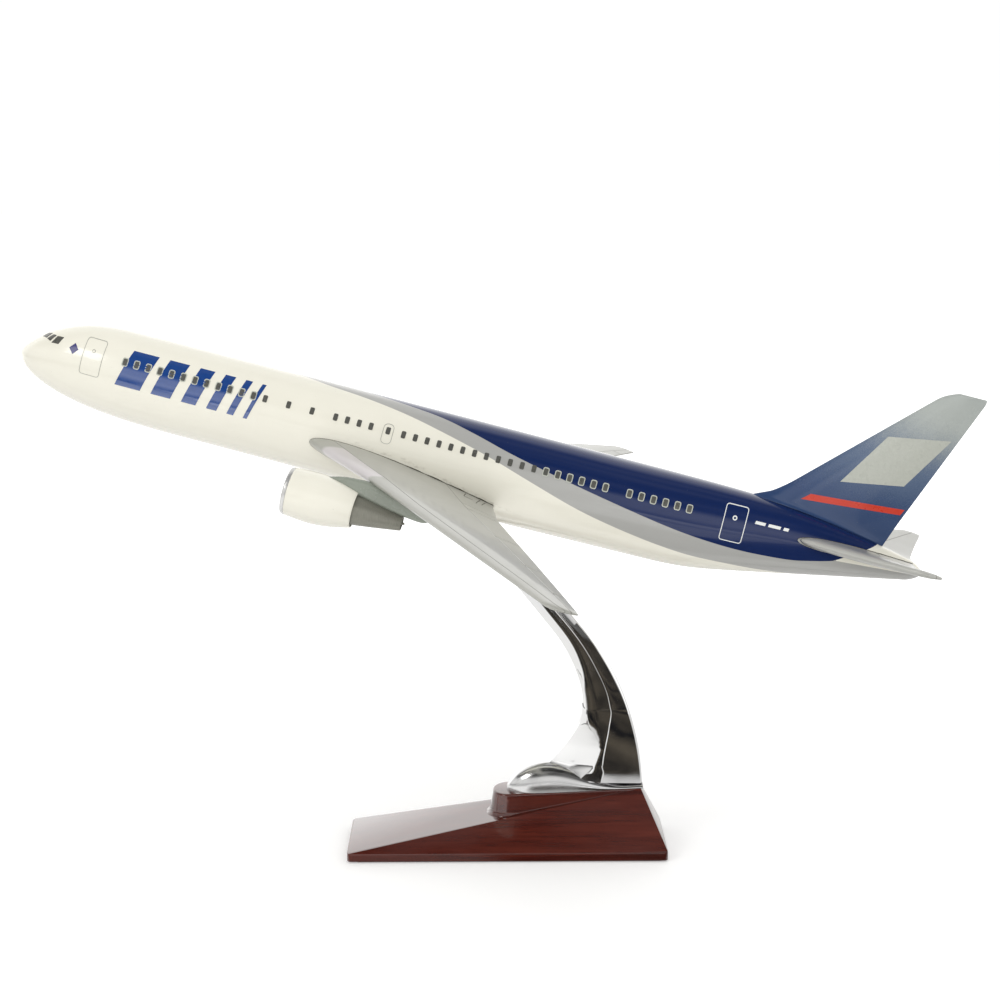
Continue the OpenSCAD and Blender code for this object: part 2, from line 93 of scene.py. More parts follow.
def curve(points, x):
    """Smooth curve through (x, y) points that doesn't overshoot them."""
    px, py = np.array(points, float).T
    h = np.diff(px)
    slope = np.diff(py) / h
    tangent = np.zeros_like(px)
    same = slope[:-1] * slope[1:] > 0
    mean = 2 * slope[:-1] * slope[1:] / np.where(same, slope[:-1] + slope[1:], 1)
    tangent[1:-1] = np.where(same, mean, 0)
    tangent[0], tangent[-1] = slope[0], slope[-1]
    x = np.clip(np.asarray(x, float), px[0], px[-1])
    i = np.clip(np.searchsorted(px, x) - 1, 0, len(h) - 1)
    t = (x - px[i]) / h[i]
    a = (1 + 2 * t) * (1 - t) ** 2 * py[i] + t * (1 - t) ** 2 * h[i] * tangent[i]
    b = t * t * (3 - 2 * t) * py[i + 1] + t * t * (t - 1) * h[i] * tangent[i + 1]
    return a + b


# ------------------ where the aircraft and its engines sit
JOINTS = {j["name"]: j for j in frame["joints"]}
PIN = np.array(JOINTS["aircraft_swivel"]["pos_m"]) / MM
UP = unit(JOINTS["aircraft_swivel"]["axis"])
SPIN = unit(JOINTS["left_fan_spin"]["axis"])
AFT = unit(SPIN - UP * (SPIN @ UP))
PORT = np.cross(AFT, UP)


def from_aircraft(p):
    """Points in the aircraft's frame, as row frame points."""
    p = np.asarray(p, float)
    x, y, z = p[..., 0:1], p[..., 1:2] - PIN_STATION, p[..., 2:3] - PIN_DATUM_Z
    return PIN + x * PORT + y * AFT + z * UP


def mirror(side):
    return lambda points: points * [side, 1, 1]


def from_engine(side):
    """Points drawn round +Z from the inlet lip, as aircraft points of the engine on that side."""
    c, s = math.cos(math.radians(ENGINE_DROOP)), math.sin(math.radians(ENGINE_DROOP))

    def place(p):
        p = np.asarray(p, float)
        x, y, z = p[..., 0], p[..., 1], p[..., 2]
        return np.stack([side * (ENGINE_X + x), ENGINE_STATION + z * c - y * s,
                         ENGINE_Z - z * s - y * c], -1)
    return place


def from_pin(p):
    """Points drawn round the pin axis, with z = 0 at the pin datum, as row frame points."""
    p = np.asarray(p, float)
    across = np.array([1.0, 0.0, 0.0])
    along = np.cross(UP, across)
    return PIN + p[..., 0:1] * across + p[..., 1:2] * along + p[..., 2:3] * UP


# ------------------ meshes
def ring_grid(rings, wrap=False):
    """Quads over equal closed rings; wrap joins the last ring to the first."""
    rows, n = len(rings), len(rings[0])
    last = rows if wrap else rows - 1
    return [(j * n + i, j * n + (i + 1) % n, (j + 1) % rows * n + (i + 1) % n, (j + 1) % rows * n + i)
            for j in range(last) for i in range(n)]


def zip_cap(n, start):
    """Quads that close a ring in strips between opposite points."""
    return [(start + i, start + i + 1, start + n - 2 - i, start + n - 1 - i) for i in range(n // 2 - 1)]


def loft(rings):
    """A closed skin over rings of an even number of points."""
    rings = np.asarray(rings, float)
    rows, n = rings.shape[:2]
    faces = ring_grid(rings) + zip_cap(n, 0) + zip_cap(n, (rows - 1) * n)
    return rings.reshape(-1, 3), faces


def join(parts):
    """One vertex array and face list out of several."""
    points, faces, shift = [], [], 0
    for p, f in parts:
        points.append(p)
        faces += [tuple(i + shift for i in q) for q in f]
        shift += len(p)
    return np.concatenate(points), faces


def revolve(profile, n=96):
    """A closed (radius, along) outline turned round +Z. Points on the axis become poles."""
    turns = np.arange(n) * TURN / n
    points, rows = [], []
    for r, z in profile:
        pole, start = r < 1e-6, len(points)
        rows.append([start] * n if pole else range(start, start + n))
        points += [(0, 0, z)] if pole else [(r * math.cos(t), r * math.sin(t), z) for t in turns]
    from_pole_to_pole = profile[0][0] < 1e-6 and profile[-1][0] < 1e-6
    faces = []
    for p, q in zip(rows, rows[1:] if from_pole_to_pole else rows[1:] + rows[:1]):
        corners = [dict.fromkeys((p[i], p[(i + 1) % n], q[(i + 1) % n], q[i])) for i in range(n)]
        faces += [tuple(c) for c in corners if len(c) > 2]
    return np.array(points), faces


def link_new(name, data):
    obj = bpy.data.objects.new(name, data)
    bpy.context.scene.collection.objects.link(obj)
    return obj


def add_fields(mesh, fields):
    """Stores one number or one vector per point for the materials."""
    for key, values in fields.items():
        values = np.asarray(values, np.float32)
        kind, channel = ("FLOAT_VECTOR", "vector") if values.ndim == 2 else ("FLOAT", "value")
        mesh.attributes.new(key, kind, "POINT").data.foreach_set(channel, values.ravel())


def solid(points, faces, name="scratch", fields=None):
    """A closed mesh object from row-frame millimetres, with its faces turned outwards."""
    mesh = bpy.data.meshes.new(name)
    mesh.from_pydata((np.asarray(points) * MM).tolist(), [], faces)
    add_fields(mesh, fields or {})
    bm = bmesh.new()
    bm.from_mesh(mesh)
    bmesh.ops.recalc_face_normals(bm, faces=bm.faces)
    bm.to_mesh(mesh)
    bm.free()
    return link_new(name, mesh)


def finish_piece(obj, material, body, node, slot, sharp):
    """Gives a piece its material and its body, and hides the CAD node that it stands in for, if any."""
    dress(obj, material, slot)
    obj.data.shade_smooth()
    obj.data.set_sharp_from_angle(angle=math.radians(sharp))
    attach(obj, body)
    if node:
        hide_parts(node)


def dress(obj, material, slot):
    obj.data.materials.clear()
    obj.data.materials.append(material)


def piece(name, shape, material, node, slot, place=np.asarray, body="aircraft", fields=None, sharp=35):
    """A named closed mesh, given in the aircraft's frame once place has moved it there."""
    points, faces = shape
    obj = solid(from_aircraft(place(points)), faces, name, fields)
    finish_piece(obj, material, body, node, slot, sharp)


def boolean(obj, others, operation):
    """Applies exact booleans to obj and deletes the other objects."""
    for other in others:
        mod = obj.modifiers.new("boolean", "BOOLEAN")
        mod.object, mod.operation, mod.solver = other, operation, "EXACT"
        apply_modifiers(obj)
        mesh = other.data
        bpy.data.objects.remove(other)
        bpy.data.meshes.remove(mesh)


def apply_modifiers(obj):
    """Replaces the mesh of obj by its evaluated mesh."""
    depsgraph = bpy.context.evaluated_depsgraph_get()
    mesh = bpy.data.meshes.new_from_object(obj.evaluated_get(depsgraph), preserve_all_data_layers=True,
                                           depsgraph=depsgraph)
    obj.modifiers.clear()
    old, obj.data = obj.data, mesh
    bpy.data.meshes.remove(old)


def rod(r, z0, z1, place=np.asarray):
    """A throwaway cylinder for a boolean."""
    points, faces = revolve([(0, z0), (r, z0), (r, z1), (0, z1)], 64)
    return solid(place(points), faces)


def at_screw(y):
    """Moves a cutter from the origin to a screw's place."""
    return lambda points: points + [0, y, 0]


def rename(obj, name):
    obj.name = obj.data.name = name


# ------------------ materials
IVORY, NAVY, BAND_GREY = (0.83, 0.81, 0.71), (0.0065, 0.019, 0.088), (0.40, 0.40, 0.385)
MOTTLE, SPECK, GRIME = (0.42, 0.40, 0.31), (0.25, 0.24, 0.2), (0.20, 0.165, 0.11)
WING_GREY, TAILPLANE_GREY = (0.395, 0.395, 0.36), (0.46, 0.46, 0.43)
# A lighter grey painted on the inner leading edge as a highlight, and the dark of the engraved lines
LE_HIGHLIGHT_GREY, GROOVE_DARK = (0.66, 0.62, 0.64), (0.09, 0.08, 0.07)
FIN_NAVY, FIN_BLUE, FIN_SILVER = (0.024, 0.056, 0.150), (0.105, 0.15, 0.235), (0.40, 0.43, 0.41)
CHROME_PALE, CHROME_GREY = (0.80, 0.80, 0.79), (0.72, 0.72, 0.73)
WOOD_DARK, WOOD_RED, WOOD_PORE = (0.030, 0.0045, 0.0035), (0.105, 0.018, 0.010), (0.016, 0.003, 0.003)
WOOD_BROAD = (0.12, 0.022, 0.014)
FELT_DARK, FELT_PALE = (0.012, 0.016, 0.012), (0.06, 0.07, 0.055)
TITLE_BLUE, BADGE_BLUE = (0.010, 0.055, 0.24), (0.03, 0.03, 0.16)
# How soft the masked paint edges are, in mm
MASK_SOFT = 0.06
# The fin's fade: the station it slants about, its slant and the heights of its two steps
FADE_STATION, FADE_SLANT = 430.0, 0.16
FADE_TO_BLUE, FADE_TO_SILVER = (22.0, 60.0), (52.0, 84.0)
# Where handling has dulled the chrome foot, in metres from full to none
DULL_HEIGHT, DULL_DEPTH = (0.040, 0.048), (0.03, 0.05)


class Nodes:
    """Short calls that add nodes to a tree and return the output socket."""

    def __init__(self, tree):
        self.tree = tree

    def link(self, value, socket):
        if isinstance(value, bpy.types.NodeSocket):
            self.tree.links.new(value, socket)
        elif isinstance(value, (tuple, list)) and len(value) == 3 and socket.type == "RGBA":
            socket.default_value = (*value, 1)
        else:
            socket.default_value = value

    def node(self, kind, inputs=(), **settings):
        n = self.tree.nodes.new(kind)
        for key, value in settings.items():
            setattr(n, key, value)
        for key, value in dict(inputs).items():
            self.link(value, n.inputs[key])
        return n

    def maths(self, operation, a, b=0.0, c=0.0):
        n = self.node("ShaderNodeMath", operation=operation)
        for value, socket in zip((a, b, c), n.inputs):
            self.link(value, socket)
        return n.outputs[0]

    def times(self, a, b):
        return self.maths("MULTIPLY", a, b)

    def plus(self, a, b):
        return self.maths("ADD", a, b)

    def minus(self, a, b):
        return self.maths("SUBTRACT", a, b)

    def times_plus(self, a, b, c):
        return self.maths("MULTIPLY_ADD", a, b, c)

    def field(self, name, output="Fac"):
        return self.node("ShaderNodeAttribute", attribute_name=name).outputs[output]

    def split(self, vector):
        return self.node("ShaderNodeSeparateXYZ", {"Vector": vector}).outputs

    def place(self, stretch=(1, 1, 1)):
        coords = self.node("ShaderNodeTexCoord").outputs["Object"]
        return self.node("ShaderNodeMapping", {"Vector": coords, "Scale": stretch}).outputs[0]

    def noise(self, per_m, detail=3.0, roughness=0.5, stretch=(1, 1, 1), distortion=0.0):
        """Noise in the piece's own space, with about per_m waves a metre."""
        settings = {"Vector": self.place(stretch), "Scale": per_m, "Detail": detail,
                    "Roughness": roughness, "Distortion": distortion}
        return self.node("ShaderNodeTexNoise", settings).outputs[0]

    def band(self, value, low, high, to_low=0.0, to_high=1.0, kind="LINEAR"):
        """Maps low..high to to_low..to_high and stops at the ends."""
        ends = {"Value": value, "From Min": low, "From Max": high, "To Min": to_low, "To Max": to_high}
        return self.node("ShaderNodeMapRange", ends, interpolation_type=kind).outputs[0]

    def ease(self, value, low, high, to_low=0.0, to_high=1.0):
        """As band, with soft ends."""
        return self.band(value, low, high, to_low, to_high, "SMOOTHSTEP")

    def mix(self, factor, a, b, blend="MIX"):
        n = self.node("ShaderNodeMix", data_type="RGBA", blend_type=blend)
        self.link(factor, n.inputs["Factor"])
        colours = [s for s in n.inputs if s.type == "RGBA"]
        self.link(a, colours[0])
        self.link(b, colours[1])
        return [s for s in n.outputs if s.type == "RGBA"][0]


class Shader(Nodes):
    """Builds one Principled material."""

    def __init__(self, name):
        self.material = bpy.data.materials.new(name)
        self.material.use_nodes = True
        super().__init__(self.material.node_tree)
        self.bsdf = self.tree.nodes["Principled BSDF"]

    def bump(self, height, strength, distance):
        n = self.node("ShaderNodeBump", {"Height": height, "Strength": strength, "Distance": distance})
        self.link(n.outputs[0], self.bsdf.inputs["Normal"])

    def set(self, **values):
        for key, value in values.items():
            self.link(value, self.bsdf.inputs[key.replace("_", " ")])
        return self.material


def worn_paint(shader, colour, roughness=0.16, dirt=0.05, peel=0.05):
    """Sprayed gloss paint: faint mottling, handling marks in the gloss and a fine orange peel."""
    mottled = shader.band(shader.noise(55, 4, 0.6), 0.35, 0.75, 0.0, dirt)
    colour = shader.mix(mottled, colour, MOTTLE, "MULTIPLY")
    specks = shader.band(shader.noise(900, 2, 0.7), 0.735, 0.76, 0.0, dirt * 5)
    colour = shader.mix(specks, colour, SPECK)
    smears = shader.band(shader.noise(30, 5, 0.65), 0.3, 0.7, roughness - 0.035, roughness + 0.06)
    shader.bump(shader.noise(420, 2, 0.5), peel, 0.0002)
    shader.set(Base_Color=colour, Roughness=smears, IOR=1.5, Coat_Weight=0.35, Coat_Roughness=0.06)




def paint(name, colour, **kind):
    shader = Shader(name)
    worn_paint(shader, colour, **kind)
    return shader.material


def hull_material():
    """Ivory hull with a grey band and a navy rear part, split by the two livery fields."""
    shader = Shader("hull_livery")
    grey = shader.band(shader.field("grey_side"), -MASK_SOFT, MASK_SOFT)
    navy = shader.band(shader.field("navy_side"), -MASK_SOFT, MASK_SOFT)
    colour = shader.mix(grey, IVORY, BAND_GREY)
    colour = shader.mix(navy, colour, NAVY)
    grime = shader.band(shader.noise(420, 4, 0.75, (1, 0.4, 1)), 0.48, 0.66, 0.0, 0.6)
    grime = shader.times(grime, shader.field("grime"))
    colour = shader.mix(grime, colour, GRIME)
    worn_paint(shader, colour, roughness=0.15, dirt=0.045)
    return shader.material


def wing_material(name, colour):
    """Warm silver-grey with darker engraved lines and a painted highlight along the inner leading edge."""
    shader = Shader(name)
    # Painted highlight: a lighter grey over the inner leading edge strip
    colour = shader.mix(shader.times(shader.field("le_highlight"), 0.75), colour, LE_HIGHLIGHT_GREY)
    colour = shader.mix(shader.times(shader.field("line"), 0.8), colour, GROOVE_DARK)
    worn_paint(shader, colour, roughness=0.32, dirt=0.1, peel=0.04)
    return shader.set(Metallic=0.12)


def fin_material():
    """Navy at the root that fades through a fine halftone into silver at the tip."""
    shader = Shader("fin_fade")
    _, station, height = shader.split(shader.field("air", "Vector"))
    along = shader.times_plus(shader.minus(station, FADE_STATION), FADE_SLANT, height)
    grain = shader.band(shader.noise(2600, 2, 0.8), 0.3, 0.7, -7.0, 7.0)
    clouds = shader.band(shader.noise(60, 3, 0.5), 0.3, 0.7, -1.2, 1.2)
    along = shader.plus(along, shader.plus(grain, clouds))
    colour = shader.mix(shader.ease(along, *FADE_TO_BLUE), FIN_NAVY, FIN_BLUE)
    colour = shader.mix(shader.ease(along, *FADE_TO_SILVER), colour, FIN_SILVER)
    worn_paint(shader, colour, roughness=0.24, dirt=0.08)
    return shader.material


def chrome_material():
    """Polished chrome with a faint haze, duller on the foot."""
    shader = Shader("chrome")
    haze = shader.band(shader.noise(70, 4, 0.65), 0.35, 0.75, 0.03, 0.11)
    pits = shader.noise(1500, 2, 0.5)
    waves = shader.noise(38, 2, 0.5)
    shader.bump(shader.times_plus(pits, 0.03, waves), 0.12, 0.001)
    _, depth, height = shader.split(shader.node("ShaderNodeNewGeometry").outputs["Position"])
    foot_haze = shader.ease(height, *DULL_HEIGHT, 0.16, 0.0)
    foot_haze = shader.times(foot_haze, shader.ease(depth, *DULL_DEPTH, 1.0, 0.0))
    haze = shader.plus(haze, foot_haze)
    tint = shader.mix(shader.band(shader.noise(22, 3), 0.3, 0.7), CHROME_PALE, CHROME_GREY)
    return shader.set(Base_Color=tint, Metallic=1.0, Roughness=haze)


def mahogany_material():
    """Dark red-brown lacquered wood, with grain along the base."""
    shader = Shader("mahogany_lacquer")
    streaks = shader.noise(190, 6, 0.6, (1, 0.06, 1), 0.6)
    pores = shader.noise(1400, 3, 0.7, (1, 0.05, 1))
    colour = shader.mix(shader.band(streaks, 0.33, 0.7), WOOD_DARK, WOOD_RED)
    colour = shader.mix(shader.band(pores, 0.55, 0.75, 0.0, 0.5), colour, WOOD_PORE)
    broad = shader.band(shader.noise(24, 3, 0.5, (1, 0.3, 1)), 0.35, 0.7, 0.0, 0.45)
    colour = shader.mix(broad, colour, WOOD_BROAD)
    shader.bump(shader.times_plus(pores, 0.08, shader.noise(60, 2)), 0.06, 0.0006)
    smears = shader.band(shader.noise(45, 4, 0.6), 0.3, 0.75, 0.09, 0.2)
    return shader.set(Base_Color=colour, Roughness=smears, IOR=1.52, Coat_Weight=1.0, Coat_Roughness=0.035,
                      Coat_IOR=1.5)


def turned_metal(name, colour, roughness=0.25, metallic=1.0):
    """Turned or brushed metal with fine scratches."""
    shader = Shader(name)
    scratches = shader.noise(2400, 3, 0.6, (1, 1, 0.08))
    tone = shader.mix(shader.band(scratches, 0.3, 0.75, 0.0, 0.5), colour, tuple(c * 0.6 for c in colour))
    shader.bump(scratches, 0.08, 0.0001)
    wear = shader.band(shader.noise(120, 4), 0.3, 0.7, roughness - 0.06, roughness + 0.1)
    return shader.set(Base_Color=tone, Metallic=metallic, Roughness=wear)


def felt_material():
    shader = Shader("felt")
    fibres = shader.noise(3500, 5, 0.8)
    colour = shader.mix(fibres, FELT_DARK, FELT_PALE)
    shader.bump(fibres, 0.8, 0.0004)
    return shader.set(Base_Color=colour, Roughness=0.95, Sheen_Weight=0.4)


def print_ink(name, colour, roughness=0.3, ior=1.5):
    """Screen-printed ink: nearly flat, with a slight unevenness of its film."""
    shader = Shader(name)
    thin = shader.band(shader.noise(700, 3, 0.6), 0.35, 0.75, 0.0, 0.14)
    tone = shader.mix(thin, colour, tuple(min(1, c * 1.5 + 0.03) for c in colour))
    shader.bump(shader.noise(1500, 2), 0.05, 0.0001)
    gloss = shader.band(shader.noise(260, 3), 0.3, 0.7, roughness - 0.06, roughness + 0.06)
    return shader.set(Base_Color=tone, Roughness=gloss, IOR=ior, Coat_Weight=0.4, Coat_Roughness=0.06,
                      Coat_IOR=ior)


HULL = hull_material()
WING = wing_material("wing_paint", WING_GREY)
TAILPLANE = wing_material("tailplane_paint", TAILPLANE_GREY)
FIN = fin_material()
CHROME = chrome_material()
MAHOGANY = mahogany_material()
STEEL = turned_metal("steel", (0.55, 0.55, 0.57))
BRASS = turned_metal("brass", (0.62, 0.43, 0.16), 0.28)
LIP_METAL = turned_metal("polished_lip", (0.74, 0.74, 0.73), 0.34, 0.7)
NOZZLE = turned_metal("nozzle_gunmetal", (0.26, 0.257, 0.215), 0.38, 0.3)
FAN_METAL = turned_metal("fan_titanium", (0.16, 0.16, 0.17), 0.3, 0.8)
SPINNER = paint("spinner_paint", (0.38, 0.38, 0.38), roughness=0.22)
PYLON = paint("pylon_paint", (0.26, 0.285, 0.24), roughness=0.26, dirt=0.12)
COWL = paint("cowl_paint", IVORY, roughness=0.2)
FELT = felt_material()
GLASS_INK = print_ink("window_ink", (0.085, 0.085, 0.075))
PALE_INK = print_ink("pale_ink", (0.46, 0.48, 0.42))
SEAM_INK = print_ink("seam_shadow", (0.055, 0.048, 0.036), 0.6)
LINE_INK = print_ink("line_ink", (0.36, 0.36, 0.32))
WHITE_INK = print_ink("white_ink", (0.78, 0.80, 0.78))
RED_INK = print_ink("red_ink", (0.58, 0.035, 0.012))
BLUE_INK = print_ink("blue_ink", TITLE_BLUE, 0.12, 2.0)
SILVER_INK = print_ink("silver_ink", (0.44, 0.455, 0.405))


# ------------------ hull shape, the same rules as the CAD
NOSE_CROWN_L, NOSE_KEEL_L, NOSE_SIDE_L = 56, 95, 75
CROWN_FALLS_FROM, CROWN_SLOPE, CROWN_BEND = 395, 0.22, 15
KEEL_RISES_FROM, KEEL_SLOPE, KEEL_BEND = 346, 0.2085, 7
BELLY_STATION, BELLY_L, BELLY_DEPTH = 240, 60, 1.2
NARROWS_FROM, NARROWS_L = 300, 175
TAIL_CAP_STATION, TAIL_CAP_L = 452, 7.6


def crown_line(s):
    nose = HALF_H * (1 - (1 - clamp01(s / NOSE_CROWN_L)) ** 2.6) ** 0.87
    return nose - CROWN_SLOPE * soft_ramp(s - CROWN_FALLS_FROM, CROWN_BEND)


def keel_line(s):
    nose = (HALF_H + NOSE_Z) * np.sqrt(1 - (1 - clamp01(s / NOSE_KEEL_L)) ** 2.8)
    belly = BELLY_DEPTH * np.exp(-((s - BELLY_STATION) / BELLY_L) ** 2)
    return NOSE_Z - nose - belly + KEEL_SLOPE * soft_ramp(s - KEEL_RISES_FROM, KEEL_BEND)


def tail_close(s):
    """Share of the full section that is left in the rounded tail cap."""
    return np.sqrt(np.maximum(1e-6, 1 - (np.maximum(s - TAIL_CAP_STATION, 0) / TAIL_CAP_L) ** 2))


def mid_z(s):
    return (crown_line(s) + keel_line(s)) / 2


def half_h(s):
    return (crown_line(s) - keel_line(s)) / 2 * tail_close(s)


def half_w(s):
    """Half the hull's width at a station."""
    nose = (1 - (1 - clamp01(s / NOSE_SIDE_L)) ** 2.6) ** 0.6
    return HALF_W * nose * (1 - clamp01((s - NARROWS_FROM) / NARROWS_L) ** 1.8) * tail_close(s)


def hull_point(s, angle):
    s, angle = np.broadcast_arrays(np.asarray(s, float), np.asarray(angle, float))
    return np.stack([half_w(s) * np.cos(angle), s, mid_z(s) + half_h(s) * np.sin(angle)], -1)


def hull_normal(s, angle):
    step = 0.05
    along = hull_point(np.asarray(s) + step, angle) - hull_point(np.asarray(s) - step, angle)
    around = hull_point(s, np.asarray(angle) + 0.002) - hull_point(s, np.asarray(angle) - 0.002)
    return unit(np.cross(along, around)) * -1


def side_x(s, z):
    return half_w(s) * np.sqrt(np.maximum(0, 1 - ((z - mid_z(s)) / half_h(s)) ** 2))


def crown_z(s):
    return mid_z(s) + half_h(s)


# The lower edge of the navy part and of the grey band, as (station, degrees above the widest line).
NAVY_EDGE = [(172, 92), (192, 80), (214, 68.5), (232, 54), (252, 38.5), (272, 27), (288, 18.9), (321, 3.8),
             (347, -7.3), (381, -21.5), (396, -24.5), (408, -19.6), (422, -7), (432, 6)]
GREY_EDGE = [(136, 92), (157, 75.5), (173, 69), (194, 58.5), (219, 42.5), (244, 26), (264, 11), (294, -10.6),
             (318, -23.3), (347, -36.1), (364, -44), (384, -58), (410, -78), (430, -92)]
CONE_TOP_STATION, CONE_TOP_Z, CONE_SLOPE = 438.0, 15.2, 1.65
UNDER_TAIL_TOP = -12.0


def livery_fields(points, angles):
    """How far each hull point is above the two edges, in mm along the skin."""
    s, z = points[:, 1], points[:, 2]
    above = np.degrees(np.where(angles > math.pi, angles - TURN, angles))
    above = np.where(np.abs(above) > 90, np.sign(above) * 180 - above, above)
    per_degree = (half_w(s) + half_h(s)) / 2 * math.radians(1)
    cone = CONE_TOP_STATION - CONE_SLOPE * (CONE_TOP_Z - z) - s
    navy = np.minimum((above - curve(NAVY_EDGE, s)) * per_degree, cone)
    grey = (above - curve(GREY_EDGE, s)) * per_degree
    under_tail = (UNDER_TAIL_TOP - above) * per_degree
    return {"navy_side": navy, "grey_side": np.minimum(grey, np.maximum(cone, under_tail))}


# The soiled line along the wing's root, as (station, height), and where it starts and ends
GRIME_LINE = [(150, -4), (175, 0.5), (205, -2), (250, -12), (262, -15)]
GRIME_FROM, GRIME_TO, GRIME_HALF_H, GRIME_MOST = 150, 268, 0.9, 0.55
# The skin starts and ends this far from its two poles, with closer rings along the nose
END_CUT, FINE_NOSE_L, HULL_POINTS = 0.02, 90, 160
# Bores for the bush round the pin axis: (radius, from, to)
BUSH_FLANGE, BUSH_SLEEVE = (6.05, -6, -0.45), (4.55, -6, 15.1)


def build_fuselage():
    nose = END_CUT + FINE_NOSE_L * (np.arange(96) / 96) ** 1.9
    middle = np.linspace(FINE_NOSE_L, TAIL_CAP_STATION, 200, endpoint=False)
    cap = TAIL_CAP_STATION + (TAIL_CAP_L - END_CUT) * np.sin(np.linspace(0, math.pi / 2, 18))
    stations = np.concatenate([nose, middle, cap])
    angles = np.arange(HULL_POINTS) * TURN / HULL_POINTS
    points, faces = loft(hull_point(stations[:, None], angles[None, :]))
    obj = solid(from_aircraft(points), faces)
    boolean(obj, [rod(*bore, from_pin) for bore in (BUSH_FLANGE, BUSH_SLEEVE)], "DIFFERENCE")
    rename(obj, "fuselage_shell")
    world = np.array([v.co for v in obj.data.vertices]) / MM - PIN
    local = np.stack([world @ PORT, world @ AFT + PIN_STATION, world @ UP + PIN_DATUM_Z], -1)
    x, s, z = local.T
    at = np.clip(s, END_CUT, FUSELAGE_L - END_CUT)
    around = np.arctan2((z - mid_z(at)) / half_h(at), x / half_w(at)) % TURN
    fields = livery_fields(local, around)
    near = np.exp(-((z - np.interp(s, *np.array(GRIME_LINE).T)) / GRIME_HALF_H) ** 2)
    fields["grime"] = GRIME_MOST * near * smooth((s - GRIME_FROM) / 40) * smooth((GRIME_TO - s) / 18)
    add_fields(obj.data, fields)
    finish_piece(obj, HULL, "aircraft", "fuselage", "fuselage_paint", 50)


# ------------------ printed marks that follow a surface
def on_hull(side, by_angle=False):
    """(station, height) on the hull's side, or (station, degrees above the widest line)."""
    def surface(q, lift):
        s, up = q[..., 0], q[..., 1]
        angle = np.radians(up) if by_angle else np.arcsin(np.clip((up - mid_z(s)) / half_h(s), -1, 1))
        return (hull_point(s, angle) + lift * hull_normal(s, angle)) * [side, 1, 1]
    return surface


def plate(surface, outer, inner=None, steps=4, lift=0.07, sink=0.15):
    """A thin closed plate on a surface inside an outline, or between two outlines."""
    outer = np.asarray(outer, float)
    centre = outer.mean(0)
    start = np.broadcast_to(centre, outer.shape) if inner is None else np.asarray(inner, float)
    shares = np.linspace(0, 1, steps + 1)
    flat = [start + (outer - start) * t for t in shares]
    n = len(outer)
    if inner is not None:
        rings = [surface(q, lift) for q in flat] + [surface(q, -sink) for q in flat[::-1]]
        return np.concatenate(rings), ring_grid(rings, wrap=True)
    rings = [surface(q, lift) for q in flat[1:]] + [surface(q, -sink) for q in flat[:0:-1]]
    poles = np.stack([surface(centre, lift), surface(centre, -sink)])
    top = len(rings) * n
    faces = ring_grid(rings)
    faces += [(top, i, (i + 1) % n) for i in range(n)]
    low = (len(rings) - 1) * n
    faces += [(top + 1, low + (i + 1) % n, low + i) for i in range(n)]
    return np.concatenate(rings + [poles]), faces


def rounded(cx, cy, w, h, r, corner=5, per_edge=2):
    """Rounded rectangle, with points along its straight edges so that a plate bends with its surface."""
    arcs = []
    for k, (sx, sy) in enumerate([(1, 1), (-1, 1), (-1, -1), (1, -1)]):
        a = np.radians(90 * k + 90 * np.arange(corner + 1) / corner)
        x, y = cx + sx * (w / 2 - r), cy + sy * (h / 2 - r)
        arcs.append(np.stack([x + r * np.cos(a), y + r * np.sin(a)], -1))
    points = []
    for arc, after in zip(arcs, arcs[1:] + arcs[:1]):
        t = np.linspace(0, 1, per_edge, endpoint=False)[1:, None]
        points += [arc, arc[-1] + (after[0] - arc[-1]) * t]
    return np.concatenate(points)


def polygon(corners, per_edge=6):
    """Straight-sided outline with points along its edges, so that a plate bends with its surface."""
    corners = np.asarray(corners, float)
    after = np.roll(corners, -1, 0)
    return np.concatenate([a + (b - a) * np.linspace(0, 1, per_edge, endpoint=False)[:, None]
                           for a, b in zip(corners, after)])


def frame_plate(skin, x, y, w, h, r, line, inner_r, per_edge=2, lift=0.07):
    """A thin rounded frame, half of line wide."""
    outer = rounded(x, y, w, h, r, 5, per_edge)
    return plate(skin, outer, rounded(x, y, w - line, h - line, inner_r, 5, per_edge), 1, lift)


def slanted(start, end, low, high, lean):
    return [(start, low), (end, low), (end + lean, high), (start + lean, high)]


def marks(name, plates, material, slot="fuselage_paint"):
    piece(name, join(plates), material, None, slot)


WINDOW_Z, WINDOW_PITCH, WINDOW_W, WINDOW_H = 9.9, 5.941, 2.2, 3.25
FRONT_ROW, REAR_ROW = 58.67, 199.8
FRONT_SPOTS = [*range(13), 14, 16, 18, 19, 20, 21]
REAR_SPOTS = [*range(18), *range(19, 25)]
EXIT_STATION = 192.1
# Slanted bars that stand where an airline's title would: (station at the foot, width)
TITLE_BARS = [(56, 13.0), (74.5, 10.0), (90, 7.4), (102.8, 5.2), (113.2, 3.4), (121.5, 2.0)]
TITLE_EDGES = (-1.6, 15.8, 5.0)
# Rounded frames: station, height, width, height, corner, twice the line width, inner corner, points an edge
FRONT_DOOR = [(42.0, 7.9, 10.6, 17.6, 1.5, 0.45, 1.3, 9), (41.9, 11.0, 1.7, 1.7, 0.85, 0.5, 0.6, 2),
              (EXIT_STATION, 8.4, 5.2, 9.4, 2.0, 0.45, 1.8, 6)]
REAR_DOOR = [(364.8, 8.1, 11.1, 17.4, 1.4, 0.75, 1.0, 9), (364.6, 10.9, 2.3, 2.3, 1.15, 1.1, 0.6, 2)]
